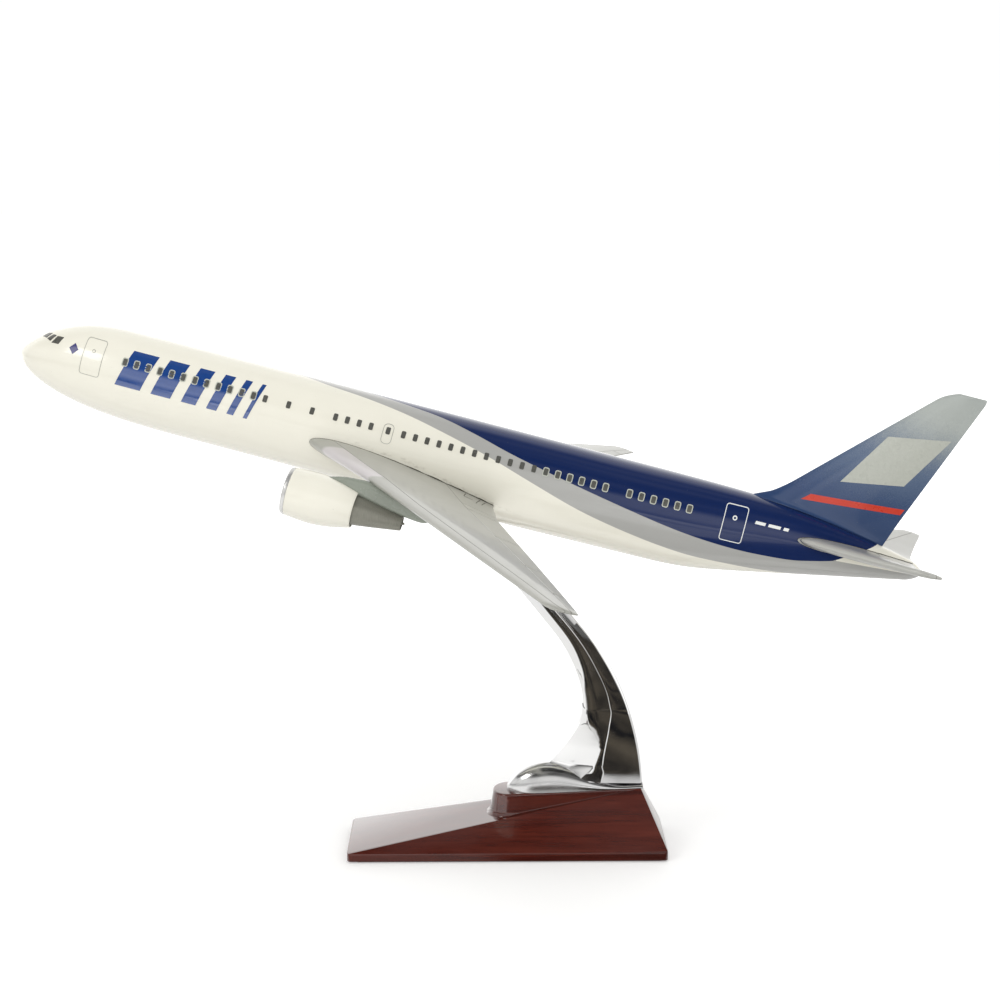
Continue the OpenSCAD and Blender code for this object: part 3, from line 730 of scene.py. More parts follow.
# Plain bars that stand where a registration would: (start, end)
CODE_BARS = [(374.5, 379.5), (381.0, 387.0), (388.5, 391.0)]
CODE_EDGES = (10.5, 11.9, 0.3)
COCKPIT_PANES = [[(11.4, 60.5), (13.5, 69.5), (16.3, 61.5), (14.2, 49.5)],
                 [(14.8, 47.0), (17.3, 56.0), (19.4, 51.5), (17.2, 38.5)],
                 [(18.3, 34.8), (20.3, 49.0), (24.0, 44.8), (22.4, 31.5)]]
BADGE = [(28.9, 9.4), (31.4, 6.9), (33.9, 9.6), (31.4, 12.1)]


def window_stations():
    front = [FRONT_ROW + WINDOW_PITCH * n for n in FRONT_SPOTS]
    rear = [REAR_ROW + WINDOW_PITCH * n for n in REAR_SPOTS]
    return front + [EXIT_STATION] + rear


def build_hull_marks():
    bars_from, bars_to = TITLE_BARS[0][0] - 8, TITLE_BARS[-1][0] + 4
    navy_from = REAR_ROW + WINDOW_PITCH * 11.5
    for side, label in SIDES:
        skin = on_hull(side)
        panes = [plate(skin, rounded(s, WINDOW_Z, WINDOW_W, WINDOW_H, 0.55), steps=2, lift=0.11)
                 for s in window_stations()]
        marks(f"{label}_cabin_windows", panes, GLASS_INK)
        frames = [frame_plate(skin, s, WINDOW_Z, WINDOW_W + 0.85, WINDOW_H + 0.85, 0.9, 0.95, 0.5, lift=0.095)
                  for s in window_stations() if s > navy_from or bars_from < s < bars_to]
        marks(f"{label}_window_frames", frames, PALE_INK)
        bars = [plate(skin, polygon(slanted(foot, foot + w, *TITLE_EDGES), 8), steps=6, lift=0.06)
                for foot, w in TITLE_BARS]
        marks(f"{label}_title_bars", bars, BLUE_INK)
        marks(f"{label}_door_lines", [frame_plate(skin, *box) for box in FRONT_DOOR], LINE_INK)
        rear_door = [frame_plate(skin, *box) for box in REAR_DOOR]
        code = [plate(skin, polygon(slanted(*ends, *CODE_EDGES)), steps=1) for ends in CODE_BARS]
        marks(f"{label}_rear_door_lines", rear_door + code, WHITE_INK)
        around = on_hull(side, by_angle=True)
        panes = [plate(around, polygon(c, 5), steps=3, lift=0.08) for c in COCKPIT_PANES]
        marks(f"{label}_cockpit_panes", panes, GLASS_INK)
        badge = plate(skin, polygon(BADGE, 5), steps=3)
        marks(f"{label}_bow_lozenge", [badge], print_ink(f"{label}_badge_ink", BADGE_BLUE))


# ------------------ wings, tailplanes and fin
def foil_half(u):
    """Half thickness of a symmetric section at a chord share, for a thickness of 1."""
    return 5 * (0.2969 * np.sqrt(u) - 0.126 * u - 0.3516 * u**2 + 0.2843 * u**3 - 0.1015 * u**4)


# x, leading station, leading z, trailing station, trailing z, thickness, rear edge thickness
WING_ROWS = np.array([
    [21, 156.0, -4.5, 250.2, -13.4, 10.8, 1.0], [32, 165.4, -4.6, 252.0, -12.4, 9.6, 1.0],
    [48, 179.0, -4.8, 254.6, -11.0, 8.2, 0.9], [67, 195.4, -5.0, 257.6, -9.3, 6.9, 0.9],
    [100, 219.0, -5.2, 269.4, -8.4, 5.5, 0.8], [140, 247.5, -5.4, 283.6, -7.3, 4.2, 0.8],
    [180, 276.1, -5.6, 297.9, -6.4, 3.0, 0.7], [202.5, 292.2, -5.8, 306.0, -6.1, 2.2, 0.7],
    [204.8, 294.6, -5.8, 306.9, -6.1, 1.8, 0.5], [206, 298.2, -5.9, 306.6, -6.1, 1.0, 0.3]])
TAIL_ROWS = np.array([
    [10, 396.5, 8.0, 454.0, 8.0, 5.4, 1.2], [16, 399.5, 8.4, 455.0, 8.6, 5.2, 1.2],
    [28, 416.5, 10.1, 457.0, 10.2, 4.4, 1.2], [40, 434.5, 12.1, 459.4, 12.2, 3.4, 1.2],
    [49, 449.3, 13.8, 461.3, 13.9, 2.6, 1.2], [51, 453.4, 14.0, 461.2, 14.1, 1.6, 0.8]])
SLAT_BACK = [(20, 11.5), (62, 7.6), (100, 5.4), (206, 4.6)]
FLAP_SHARE, ELEVATOR_SHARE = 0.74, 0.68
GROOVE_W, GROOVE_D = 0.32, 0.16
ROOT_GAP, ROOT_BITE, TAIL_GAP_DARK = 0.28, 0.3, 0.5
# Span in x of the painted highlight along the leading edge
LE_HIGHLIGHT_FROM, LE_HIGHLIGHT_TO = 31.0, 67.0
# At the root: distance from the hull, inset and darkness. At the tip: shift outwards and inset.
ROOT_STEPS = [(-ROOT_BITE, ROOT_GAP, 1.0), (0.30, ROOT_GAP, 1.0), (0.32, 0.0, 0.35), (0.9, 0.0, 0.0)]
TIP_STEPS = [(-0.15, 0.18), (0.0, 0.42)]
# Engraved or printed lines on the wing, between (x, chord share) points
HATCH_LINES = [((22.5, 0.845), (34.0, 0.815)), ((34.0, 0.815), (34.0, 0.870)),
               ((22.5, 0.925), (40.0, 0.880)), ((22.5, 0.955), (37.0, 0.920))]
FLAP_SPLITS, FLAP_END_SHARE = (60.5, 70.5, 112.0, 152.0, 186.0), 0.985
# Sections crowd together where the tips round off
WING_TIP_FROM, WING_TIP_XS = 202.5, (202.5, 203.6, 204.8, 205.3, 205.6)
TAIL_TIP_FROM, TAIL_TIP_XS = 49, (49, 50, 50.5, 50.6)


def row_at(rows, x):
    return np.array([np.interp(x, rows[:, 0], rows[:, k]) for k in range(1, 7)])


def chord_shares(grooves):
    """Chord fractions that crowd at the leading edge and round each groove (share, half width)."""
    shares, at = [], 0.0
    for centre, half in grooves:
        stop = centre - 1.6 * half
        n = 18 if at == 0 else 16
        t = np.arange(n) / n
        shares.append(at + (stop - at) * (t**2 if at == 0 else t))
        shares.append(centre + half * np.array([-1.6, -1.0, -0.5, 0.0, 0.5, 1.0]))
        at = centre + 1.6 * half
    t = np.linspace(0, 1, 12)
    shares.append(at + (1 - at) * t)
    return np.concatenate(shares)


def foil_ring(row, grooves, inset=0.0):
    """Ring of (station, z) and a line strength, upper side first."""
    lead, lead_z, trail, trail_z, thick, rear = row
    u = chord_shares(grooves)
    chord = trail - lead
    cut = sum(np.exp(-((u - c) / (0.55 * w)) ** 4) for c, w in grooves)
    half = foil_half(u) * thick + u * rear / 2 + 0.001
    half = np.maximum(half - cut * GROOVE_D - inset, 0.001)
    station = lead + inset + u * (chord - 2 * inset)
    line_z = lerp(lead_z, trail_z, u)
    upper = np.stack([station, line_z + half], -1)
    lower = np.stack([station, line_z - half], -1)
    return np.concatenate([upper, lower[::-1]]), there_and_back(cut)


def build_flying_surface(name, side, rows, grooves_at, xs, material, node):
    """A wing or tailplane: its root follows the hull's side with a dark hairline gap."""
    root, tip, is_wing = rows[0, 0], rows[-1, 0], rows is WING_ROWS
    rings, lines, le_highlight = [], [], []

    def add(x, inset=0.0, shift=0.0, dark=0.0, at_hull=False):
        grooves = grooves_at(x)
        flat, line = foil_ring(row_at(rows, x), grooves, inset)
        start = side_x(flat[:, 0], flat[:, 1]) if at_hull else np.full(len(flat), x)
        rings.append(np.column_stack([start + shift, flat]))
        lines.append(np.maximum(line, dark))
        # The leading edge strip ahead of the slat line gets the painted highlight
        front = (chord_shares(grooves) < grooves[0][0]) & is_wing & (LE_HIGHLIGHT_FROM < x < LE_HIGHLIGHT_TO)
        le_highlight.append(there_and_back(front))

    for depth, inset, dark in ROOT_STEPS:
        add(root, inset, depth, dark if is_wing else dark * TAIL_GAP_DARK, at_hull=True)
    for x in xs:
        add(x)
    for shift, inset in TIP_STEPS:
        add(tip, inset, shift)
    fields = {"line": np.concatenate(lines), "le_highlight": np.concatenate(le_highlight)}
    piece(name, loft(rings), material, node, "wing_paint", mirror(side), fields=fields, sharp=40)


def wing_grooves(x):
    lead, _, trail, _, _, _ = row_at(WING_ROWS, x)
    chord = trail - lead
    slat = float(np.interp(x, *np.array(SLAT_BACK).T))
    share = min(slat / chord, 0.42)
    return [(share, GROOVE_W / chord), (FLAP_SHARE, GROOVE_W / chord)]


def tail_grooves(x):
    lead, _, trail, _, _, _ = row_at(TAIL_ROWS, x)
    return [(0.12, 0.12 / (trail - lead)), (ELEVATOR_SHARE, GROOVE_W / (trail - lead))]


def on_wing(side, way=1):
    """(x, chord share) on the wing's upper skin, or with way = -1 on its lower skin."""
    def surface(q, lift):
        x, u = q[..., 0], q[..., 1]
        lead, lead_z, trail, trail_z, thick, rear = row_at(WING_ROWS, x)
        z = lerp(lead_z, trail_z, u) + way * (foil_half(u) * thick + u * rear / 2 + lift)
        return np.stack([side * x, lerp(lead, trail, u), z], -1)
    return surface


def root_seam(hull, rows, grooves_at, low, more):
    """A dark, uneven line on the hull round a root, wider towards the rear."""
    x = rows[0, 0]
    inner, _ = foil_ring(row_at(rows, x), grooves_at(x), 0.3)
    outer, _ = foil_ring(row_at(rows, x), grooves_at(x), -0.05)
    aft = smooth((outer[:, 0] - outer[:, 0].mean()) / 30 + 0.3)
    ripple = 0.5 + 0.5 * np.sin(outer[:, 0] * 0.83) * np.sin(outer[:, 0] * 0.31 + 1.0)
    upward = np.sign(outer[:, 1] - outer[::-1, 1])
    outer[:, 1] += upward * (low + more * aft * ripple)
    return plate(hull, outer, inner, steps=1, lift=0.07)


def wing_line(skin, start, end):
    """A thin line on the wing between two (x, chord share) points."""
    spanwise = abs(end[0] - start[0]) > 1
    across = (0.0, 0.0048) if spanwise else (0.26, 0.0)
    ends = np.array([start, end])
    return plate(skin, polygon([*ends, *(ends + across)[::-1]], 6), steps=2, lift=0.09)


def build_wings():
    wing_xs = [*np.arange(24, WING_TIP_FROM, 2.2), *WING_TIP_XS]
    tail_xs = [*np.arange(13, TAIL_TIP_FROM, 1.5), *TAIL_TIP_XS]
    for side, label in SIDES:
        for name, rows, grooves_at, xs, material in (
                ("wing", WING_ROWS, wing_grooves, wing_xs, WING),
                ("tailplane", TAIL_ROWS, tail_grooves, tail_xs, TAILPLANE)):
            build_flying_surface(f"{label}_{name}_skin", side, rows, grooves_at, xs, material,
                                 f"{label}_{name}")
        hatch = [wing_line(on_wing(side), *ends) for ends in HATCH_LINES]
        marks(f"{label}_wing_hatch_lines", hatch, SEAM_INK, "wing_paint")
        splits = [wing_line(on_wing(side, way), (x, FLAP_SHARE), (x, FLAP_END_SHARE))
                  for x in FLAP_SPLITS for way in (1, -1)]
        marks(f"{label}_wing_panel_lines", splits, LINE_INK, "wing_paint")
        hull = on_hull(side)
        seams = [root_seam(hull, WING_ROWS, wing_grooves, 0.04, 0.42),
                 root_seam(hull, TAIL_ROWS, tail_grooves, 0.03, 0.1)]
        marks(f"{label}_root_seams", seams, SEAM_INK)


# The fin's straight edges: (station, height, slope)
FIN_LEAD, FIN_TRAIL = (390.4, 35.7, 0.9965), (438.2, 15.2, 0.362)
FIN_ROOT_T, FIN_TIP_T, FIN_REAR_T = 6.2, 2.4, 0.12
FIN_LOW_Z, FIN_POINTS = 22.0, 44


def fin_lead(z):
    station, height, slope = FIN_LEAD
    fillet = -3.2 * clamp01((34 - z) / 12) ** 2 - 3.4 * clamp01((27 - z) / 5) ** 2
    round_tip = 9 * clamp01((z - 87) / 8.2) ** 3
    return station + (z - height) * slope + fillet + round_tip


def fin_trail(z):
    station, height, slope = FIN_TRAIL
    return station + (z - height) * slope - 0.8 * clamp01((z - 90) / 3.5) ** 2


def fin_thick(z):
    return lerp(FIN_ROOT_T, FIN_TIP_T, clamp01((z - 15) / 78))




def fin_ring(height, inset=0.0):
    """The fin's section at a height; below FIN_LOW_Z its foot follows the crown."""
    u = (1 - np.cos(np.linspace(0, math.pi, FIN_POINTS))) / 2
    z0 = max(height, FIN_LOW_Z)
    foot = height <= FIN_LOW_Z
    lead, trail = fin_lead(z0), fin_trail(14.0 if foot else z0)
    s = lerp(lead, trail, u)
    z = crown_z(s) - ROOT_BITE if foot else np.full_like(s, z0)
    half = (foil_half(u) + u * FIN_REAR_T / 2 + 0.0005) * fin_thick(z)
    half = np.maximum(half - inset, 0.02)
    return np.stack([np.concatenate([half, -half[::-1]]), there_and_back(s), there_and_back(z)], -1)


def build_fin():
    foot, first_z = fin_ring(0), FIN_LOW_Z + 3.6
    bulge = np.sin(np.pi * there_and_back(np.linspace(0, 1, FIN_POINTS))) ** 0.5
    rings = [foot * [1.25, 1, 1]]
    for t in (0.06, 0.14, 0.25, 0.4, 0.6, 0.8):
        ring = lerp(foot, fin_ring(first_z), t)
        ring[:, 0] += np.sign(ring[:, 0]) * 1.4 * (1 - t) ** 8 * bulge
        rings.append(ring)
    rings += [fin_ring(z) for z in (*np.linspace(first_z, 86, 40), *np.linspace(87, 93, 14))]
    rings += [fin_ring(93.3, inset=0.25), fin_ring(FIN_TIP_Z, inset=0.6)]
    points, faces = loft(rings)
    piece("vertical_fin_skin", (points, faces), FIN, "vertical_fin", "fin_paint", fields={"air": points},
          sharp=40)


def on_fin(side):
    def surface(q, lift):
        s, z = q[..., 0], q[..., 1]
        u = clamp01((s - fin_lead(z)) / (fin_trail(z) - fin_lead(z)))
        half = (foil_half(u) + u * FIN_REAR_T / 2) * fin_thick(z)
        return np.stack([side * (half + lift), s, z], -1)
    return surface


# (station, height) corners of the plain shapes on the fin
FIN_LOZENGE = [(409.4, 38.8), (439.5, 44.0), (455.2, 70.6), (425.5, 65.5)]
FIN_STRIPE = [(393.5, 25.9), (441.8, 29.9), (443.2, 32.9), (397.5, 29.5)]


def build_fin_marks():
    for side, label in SIDES:
        for name, corners, steps, ink in (("lozenge", FIN_LOZENGE, 8, SILVER_INK),
                                          ("stripe", FIN_STRIPE, 3, RED_INK)):
            mark = plate(on_fin(side), polygon(corners, 10), steps=steps, lift=0.06)
            marks(f"{label}_fin_{name}", [mark], ink, "fin_paint")


# ------------------ engines
COWL_L, LIP_L, LIP_R, DUCT_R, COWL_EXIT_R = 33.0, 2.0, 11.25, 9.6, 8.65
COWL_R, COWL_WIDEST = 11.95, 14
CORE_R, NOZZLE_L, NOZZLE_END_R = 7.2, 22.7, 3.6
NOZZLE_END = COWL_L + NOZZLE_L
FAN_AT, FAN_TIP_R, FAN_BLADES = 7.0, 9.3, 18
HUB_R, HUB_L, AXLE_BORE_R, BLADE_ROOT_R = 2.9, 2.6, 1.02, 2.6
STRUT_AT, STRUT_HALF_L, STRUT_HALF_T = 16.5, 2.5, 0.4


def cowl_out(a):
    front = lerp(LIP_R, COWL_R, np.sin(np.pi / 2 * (a - LIP_L) / (COWL_WIDEST - LIP_L)))
    back = COWL_R - (COWL_R - COWL_EXIT_R) * clamp01((a - COWL_WIDEST) / (COWL_L - COWL_WIDEST)) ** 1.7
    return np.where(a < COWL_WIDEST, front, back)


def duct_in(a):
    return lerp(DUCT_R, 8.25, smooth((a - 20) / 13))


def cowl_profile():
    outer = [(cowl_out(a), a) for a in np.linspace(LIP_L + 0.12, COWL_L - 0.15, 44)]
    edge = [(COWL_EXIT_R - 0.12, COWL_L), (8.35, COWL_L)]
    inner = [(duct_in(a), a) for a in np.linspace(COWL_L - 0.1, LIP_L + 0.1, 24)]
    return [(LIP_R - 0.12, LIP_L)] + outer + edge + inner + [(DUCT_R + 0.1, LIP_L)]


def lip_profile():
    mid, half = (LIP_R + DUCT_R) / 2, (LIP_R - DUCT_R) / 2
    arc = [(mid + half * math.cos(a), LIP_L - 0.14 - 1.86 * math.sin(a)) for a in np.linspace(0, math.pi, 26)]
    return [(LIP_R - 0.1, LIP_L - 0.02)] + arc + [(DUCT_R + 0.1, LIP_L - 0.02)]


def nozzle_profile():
    end = NOZZLE_END
    steps = [(0, 10), (5.6, 10), (6.6, 11.2), (CORE_R, 13), (CORE_R, COWL_L)]
    cone = [(lerp(CORE_R, NOZZLE_END_R, t ** 1.08), COWL_L + t * (NOZZLE_L - 0.4))
            for t in np.arange(1, 11) / 10]
    ring = [(NOZZLE_END_R - 0.1, end), (NOZZLE_END_R - 0.45, end)]
    return steps + cone + ring + [(3.2, end - 3), (3.6, end - 8), (0, end - 8)]


def plug_profile():
    steps = [(0, -8.4), (2.0, -8.4), (1.7, -5), (1.1, -1.5), (0.5, 1), (0, 1.5)]
    return [(r, NOZZLE_END + along) for r, along in steps]


def polar(r, across, along, turn):
    """Points of a section across a radius r, turned round +Z."""
    x = r * math.cos(turn) - across * math.sin(turn)
    y = r * math.sin(turn) + across * math.cos(turn)
    return np.stack([x, y, along], -1)


def core_struts():
    """Four struts that hold the core inside the cowl."""
    struts = []
    t = np.linspace(0, TURN, 16, endpoint=False) + math.pi / 16
    across, along = STRUT_HALF_T * np.sin(t), STRUT_AT + STRUT_HALF_L * np.cos(t)
    for quarter in range(4):
        turn = math.radians(45 + 90 * quarter)
        struts.append(loft([polar(r, across, along, turn)
                            for r in np.linspace(CORE_R - 0.5, DUCT_R + 0.15, 3)]))
    return join(struts)


def fan_rotor():
    """Hub and twisted blades, each a closed loft from root to tip."""
    front, rear = FAN_AT, FAN_AT + HUB_L
    hub = [(AXLE_BORE_R, front), (HUB_R - 0.2, front), (HUB_R, front + 0.2), (HUB_R, rear),
           (AXLE_BORE_R, rear)]
    parts = [revolve(hub, 48)]
    t = np.linspace(-1, 1, 7)
    camber = 0.22 * (1 - t**2)
    for i in range(FAN_BLADES):
        turn = TURN * i / FAN_BLADES
        rings = []
        for r in np.linspace(BLADE_ROOT_R, FAN_TIP_R, 9):
            share = (r - BLADE_ROOT_R) / (FAN_TIP_R - BLADE_ROOT_R)
            twist = math.radians(lerp(28, 58, share))
            chord = there_and_back(t * lerp(1.25, 1.5, share))
            thick = 0.22 * (1 - 0.5 * share) * (1 - t**2) ** 0.5 + 0.03
            rise = np.concatenate([camber + thick, (camber - thick)[::-1]])
            across = chord * math.sin(twist) + rise * math.cos(twist)
            along = np.clip(chord * math.cos(twist) - rise * math.sin(twist), -1.5, 1.5)
            ring = polar(r, across, FAN_AT + 1.35 + along, turn)
            ring[:, :2] *= r / np.hypot(ring[:, :1], ring[:, 1:2])
            rings.append(ring)
        parts.append(loft(rings))
    return join(parts)


def spinner_profile():
    nose = [(HUB_R * math.sqrt(t / 14), FAN_AT - 3.6 + 3.5 * t / 14) for t in range(15)]
    return nose + [(2.86, FAN_AT - 0.03), (0, FAN_AT - 0.03)]


PYLON_TOP = [(174.6, -9.6), (180, -8.0), (187, -6.6), (197, -6.2), (206, -8.4), (222, -11.1), (234.0, -12.6)]
PYLON_LOW = [(174.6, -9.9), (186, -12.6), (194, -14.2), (203, -16.1), (214, -17.9), (223.6, -18.8),
             (230, -16.4), (234.0, -13.2)]
PYLON_HALF_T = [(174.6, 0.12), (178, 0.9), (186, 1.7), (200, 2.3), (214, 2.5), (224, 2.1), (231, 1.2),
                (234.0, 0.25)]


def pylon_rings():
    """Sections across the pylon, a blade with rounded edges that swells towards its canoe tail."""
    start, end = PYLON_TOP[0][0], PYLON_TOP[-1][0]
    a = np.arange(28) * TURN / 28 + math.pi / 28
    c, d = np.cos(a), np.sin(a)
    rings = []
    for s in (*np.linspace(start, 182, 12), *np.linspace(183, 226, 34), *np.linspace(227, end, 12)):
        top, low, half = curve(PYLON_TOP, s), curve(PYLON_LOW, s), curve(PYLON_HALF_T, s)
        x = half * np.sign(c) * np.abs(c) ** 0.8
        z = (top + low) / 2 + (top - low) / 2 * np.sign(d) * np.abs(d) ** 0.62
        rings.append(np.stack([x + ENGINE_X, np.full_like(x, s), z], -1))
    return rings


def build_engines():
    parts = [("cowl_shell", revolve(cowl_profile()), COWL, "fan_cowl", "cowl_paint"),
             ("inlet_ring", revolve(lip_profile()), LIP_METAL, "inlet_lip", "chrome"),
             ("hot_nozzle", revolve(nozzle_profile()), NOZZLE, "core_nozzle", "nozzle_paint"),
             ("tail_plug", revolve(plug_profile()), NOZZLE, "exhaust_plug", "nozzle_paint"),
             ("core_struts", core_struts(), NOZZLE, None, "nozzle_paint"),
             ("fan_blades", fan_rotor(), FAN_METAL, "fan_rotor", "fan_metal"),
             ("spinner_cap", revolve(spinner_profile(), 64), SPINNER, "spinner", "spinner_paint")]
    for side, label in SIDES:
        for name, shape, material, node, slot in parts:
            body = f"{label}_fan" if node in ("fan_rotor", "spinner") else "aircraft"
            stands_for = node and f"{label}_{node}"
            piece(f"{label}_{name}", shape, material, stands_for, slot, from_engine(side), body)
        piece(f"{label}_pylon_fairing", loft(pylon_rings()), PYLON, f"{label}_pylon", "pylon_paint",
              mirror(side), sharp=55)


# ------------------ base
BASE_FRONT_Y, BASE_REAR_Y, BASE_CORNER, BASE_EDGE = -82.6, 81.2, 2.2, 0.9
RIDGE_Y, RIDGE_HALF_W, RIDGE_Z = 67.85, 7.0, 33.6
PLINTH_FRONT_Y, PLINTH_HALF_W, PLINTH_FRONT_Z = -8.2, 9.9, 31.2
PLINTH_CORNER, PLINTH_SPREAD, PLINTH_FLARE, PLINTH_EDGE = 8.4, 1.7, 2.3, 1.1
PLINTH_FROM_Z = 12.0
SCREW_YS, SCREW_R = (14, 52), 2.0
# The screw's clearance hole and the pocket for its head: (radius, top)
SCREW_HOLES = [(SCREW_R + 0.2, 60), (4.6, 9)]


def plinth_z(y):
    """The plinth's top rises a little towards the rear."""
    return lerp(PLINTH_FRONT_Z, RIDGE_Z, (y - PLINTH_FRONT_Y) / (RIDGE_Y - PLINTH_FRONT_Y))


def build_base():
    """A wedge with rounded edges, a raised plinth that flares into it, and screw holes from below."""
    x, front, rear = BASE_W / 2, BASE_FRONT_Y, BASE_REAR_Y
    floor_plan = [(-x, front), (x, front), (x, rear), (-x, rear)]
    corners = [(*corner, z) for z in (FELT_T, BAND_H) for corner in floor_plan]
    corners += [(-RIDGE_HALF_W, RIDGE_Y, RIDGE_Z), (RIDGE_HALF_W, RIDGE_Y, RIDGE_Z)]
    sides = [(0, 3, 2, 1), (0, 1, 5, 4), (1, 2, 6, 5), (2, 3, 7, 6), (3, 0, 4, 7), (5, 6, 9), (7, 4, 8),
             (6, 7, 8, 9), (4, 5, 9, 8)]
    wedge = solid(corners, sides)
    plan = rounded(0, (front + rear) / 2, BASE_W, rear - front, BASE_CORNER, 8, 1)
    column = loft([np.column_stack([plan, np.full(len(plan), z)]) for z in (-1.0, 60.0)])
    boolean(wedge, [solid(*column)], "INTERSECT")
    bevel = wedge.modifiers.new("edge", "BEVEL")
    bevel.width, bevel.segments, bevel.limit_method = BASE_EDGE * MM, 4, "ANGLE"
    bevel.angle_limit = math.radians(9)
    apply_modifiers(wedge)
    rings = []
    for share, grow in plinth_steps():
        outline = plinth_outline(grow)
        rings.append(np.column_stack([outline, lerp(PLINTH_FROM_Z, plinth_z(outline[:, 1]), share)]))
    boolean(wedge, [solid(*loft(rings))], "UNION")
    holes = [rod(r, -1, top, at_screw(y)) for y in SCREW_YS for r, top in SCREW_HOLES]
    boolean(wedge, holes, "DIFFERENCE")
    rename(wedge, "lacquered_base")
    finish_piece(wedge, MAHOGANY, "stand", "base_wedge", "mahogany", 28)


def plinth_steps():
    """(share of the height, growth outwards): a flared foot, a leaning wall and a rounded edge."""
    foot = [(lerp(0.30, 0.54, t), PLINTH_SPREAD * (1 - 0.24 * t) + PLINTH_FLARE * (1 - t) ** 2.2)
            for t in np.linspace(0, 1, 9)]
    wall_top = 1 - PLINTH_EDGE / 20
    low = foot[-1]
    wall = [(lerp(low[0], wall_top, t), lerp(low[1], 0, t)) for t in (0.25, 0.5, 0.75, 1.0)]
    edge = [(wall_top + (1 - wall_top) * math.sin(a), -PLINTH_EDGE * (1 - math.cos(a)))
            for a in np.linspace(0.2, math.pi / 2, 7)]
    return [(0, PLINTH_SPREAD + PLINTH_FLARE)] + foot + wall + edge


def plinth_outline(grow):
    """The plinth from above: a rounded front that narrows to the ridge."""
    front_x = lerp(PLINTH_HALF_W, RIDGE_HALF_W, 0.08)
    r, rear_x = PLINTH_CORNER, RIDGE_HALF_W - 0.02
    a = np.linspace(0.02, math.pi / 2, 18)
    right = np.stack([front_x - r + (r + grow) * np.sin(a), PLINTH_FRONT_Y + r - (r + grow) * np.cos(a)], -1)
    tail = np.array([[rear_x + grow * 0.12, RIDGE_Y - 0.05 + min(grow, 0) * 0.6]])
    right = np.concatenate([right, lerp(right[-1:], tail, 0.5), tail])
    return np.concatenate([right, (right * [-1, 1])[::-1]])


# ------------------ arm
ARC_Y, ARC_Z, ARC_R, STRAIGHT_L = -78.4, 27.9, 147.3, 60.5
ARC_LOW, ARC_MID, ARC_TOP = 3.2, 18.5, 40.8
# The arm's depth from front to rear: along the arc it fades to ARC_DEPTH, along the straight it tapers
ARC_DEPTH, ARC_DEPTH_MORE, ARC_FADE, ARC_DIP = 8.5, 15, 17.5, 1.4
STRAIGHT_DEPTHS = (13.0, 10.6)
ARM_HALF_W, ARM_NECK_HALF_W, ARM_END_HALF_W = 7.4, 6.4, 5.4
BOSS_R, BOSS_L, PIN_LOW = 5.6, 15.5, 13.5
FOOT_FRONT, FOOT_REAR, FOOT_HALF_W, FOOT_TOP_Z = -1.2, 68.9, 8.9, 45.9
FOOT_WIDEST_Y, FOOT_PEAK_Y, FOOT_REAR_HALF_W, FOOT_TAIL_H = 16, 21, 7.0, 2.5
ARM_FRONT = np.array([[12, 38], [20.6, 46], [23.2, 49], [25.8, 52], [28.6, 55.6], [31.3, 59.4], [33.8, 63.6],
                      [35.8, 67.6], [37.2, 72], [37.6, 76.5]])
# Where the front bevel ends and where the arm is widest: (row number, share of the depth from the front)
BEVEL_AT = [(0, 0.40), (2, 0.455), (4, 0.448), (5, 0.40), (6, 0.30), (7, 0.18), (8, 0.09), (9, 0.045),
            (10, 0.03), (12, 0.06), (14, 0.20), (16, 0.28), (22, 0.31)]
WIDEST_AT = [(0, 0.62), (2, 0.55), (5, 0.53), (7, 0.54), (9, 0.60), (11, 0.645), (13, 0.62), (15, 0.61),
             (17, 0.60), (22, 0.60)]
# Half-width shares of the blunt front edge and of the bevel's end, by row number
EDGE_SHARE_AT = [(0, 0.12), (4, 0.14), (8, 0.34), (14, 0.60), (22, 0.66)]
CREASE_SHARE_AT = [(0, 0.90), (9, 0.92), (13, 0.955), (22, 0.96)]


def outward(degrees):
    return np.array([math.cos(math.radians(degrees)), math.sin(math.radians(degrees))])


def arc_point(degrees):
    return np.array([ARC_Y, ARC_Z]) + ARC_R * outward(degrees)


def arm_stations():
    """Rows of front (y, z), rear (y, z), half width and row number, from the foot to the pin."""
    rows = []
    for i, front in enumerate(ARM_FRONT):
        rows.append([*front, *arc_point(lerp(ARC_LOW, ARC_MID, i / 9)), ARM_HALF_W])
    for t in np.arange(1, 9) / 8:
        angle = lerp(ARC_MID, ARC_TOP, t)
        depth = ARC_DEPTH + ARC_DEPTH_MORE * math.exp((20 - angle) / ARC_FADE) - ARC_DIP * (1 - t) * t
        rear = arc_point(angle)
        rows.append([*(rear - depth * outward(angle)), *rear, lerp(ARM_HALF_W, ARM_NECK_HALF_W, t)])
    up = outward(ARC_TOP + 90)
    for t in np.arange(1, 6) / 5:
        rear = arc_point(ARC_TOP) + STRAIGHT_L * t * up
        front = rear - lerp(*STRAIGHT_DEPTHS, t) * outward(ARC_TOP)
        rows.append([*front, *rear, lerp(ARM_NECK_HALF_W, ARM_END_HALF_W, t)])
    return np.array([row + [i] for i, row in enumerate(rows)])


def smooth_rows(rows, per_span=7):
    """Catmull-Rom rows between the given ones."""
    ahead = np.vstack([2 * rows[0] - rows[1], rows, 2 * rows[-1] - rows[-2]])
    out = []
    for i in range(1, len(ahead) - 2):
        p0, p1, p2, p3 = ahead[i - 1:i + 3]
        for t in np.linspace(0, 1, per_span, endpoint=False):
            out.append(0.5 * (2 * p1 + (p2 - p0) * t + (2 * p0 - 5 * p1 + 4 * p2 - p3) * t**2
                              + (3 * p1 - p0 - 3 * p2 + p3) * t**3))
    return np.array(out + [ahead[-2]])


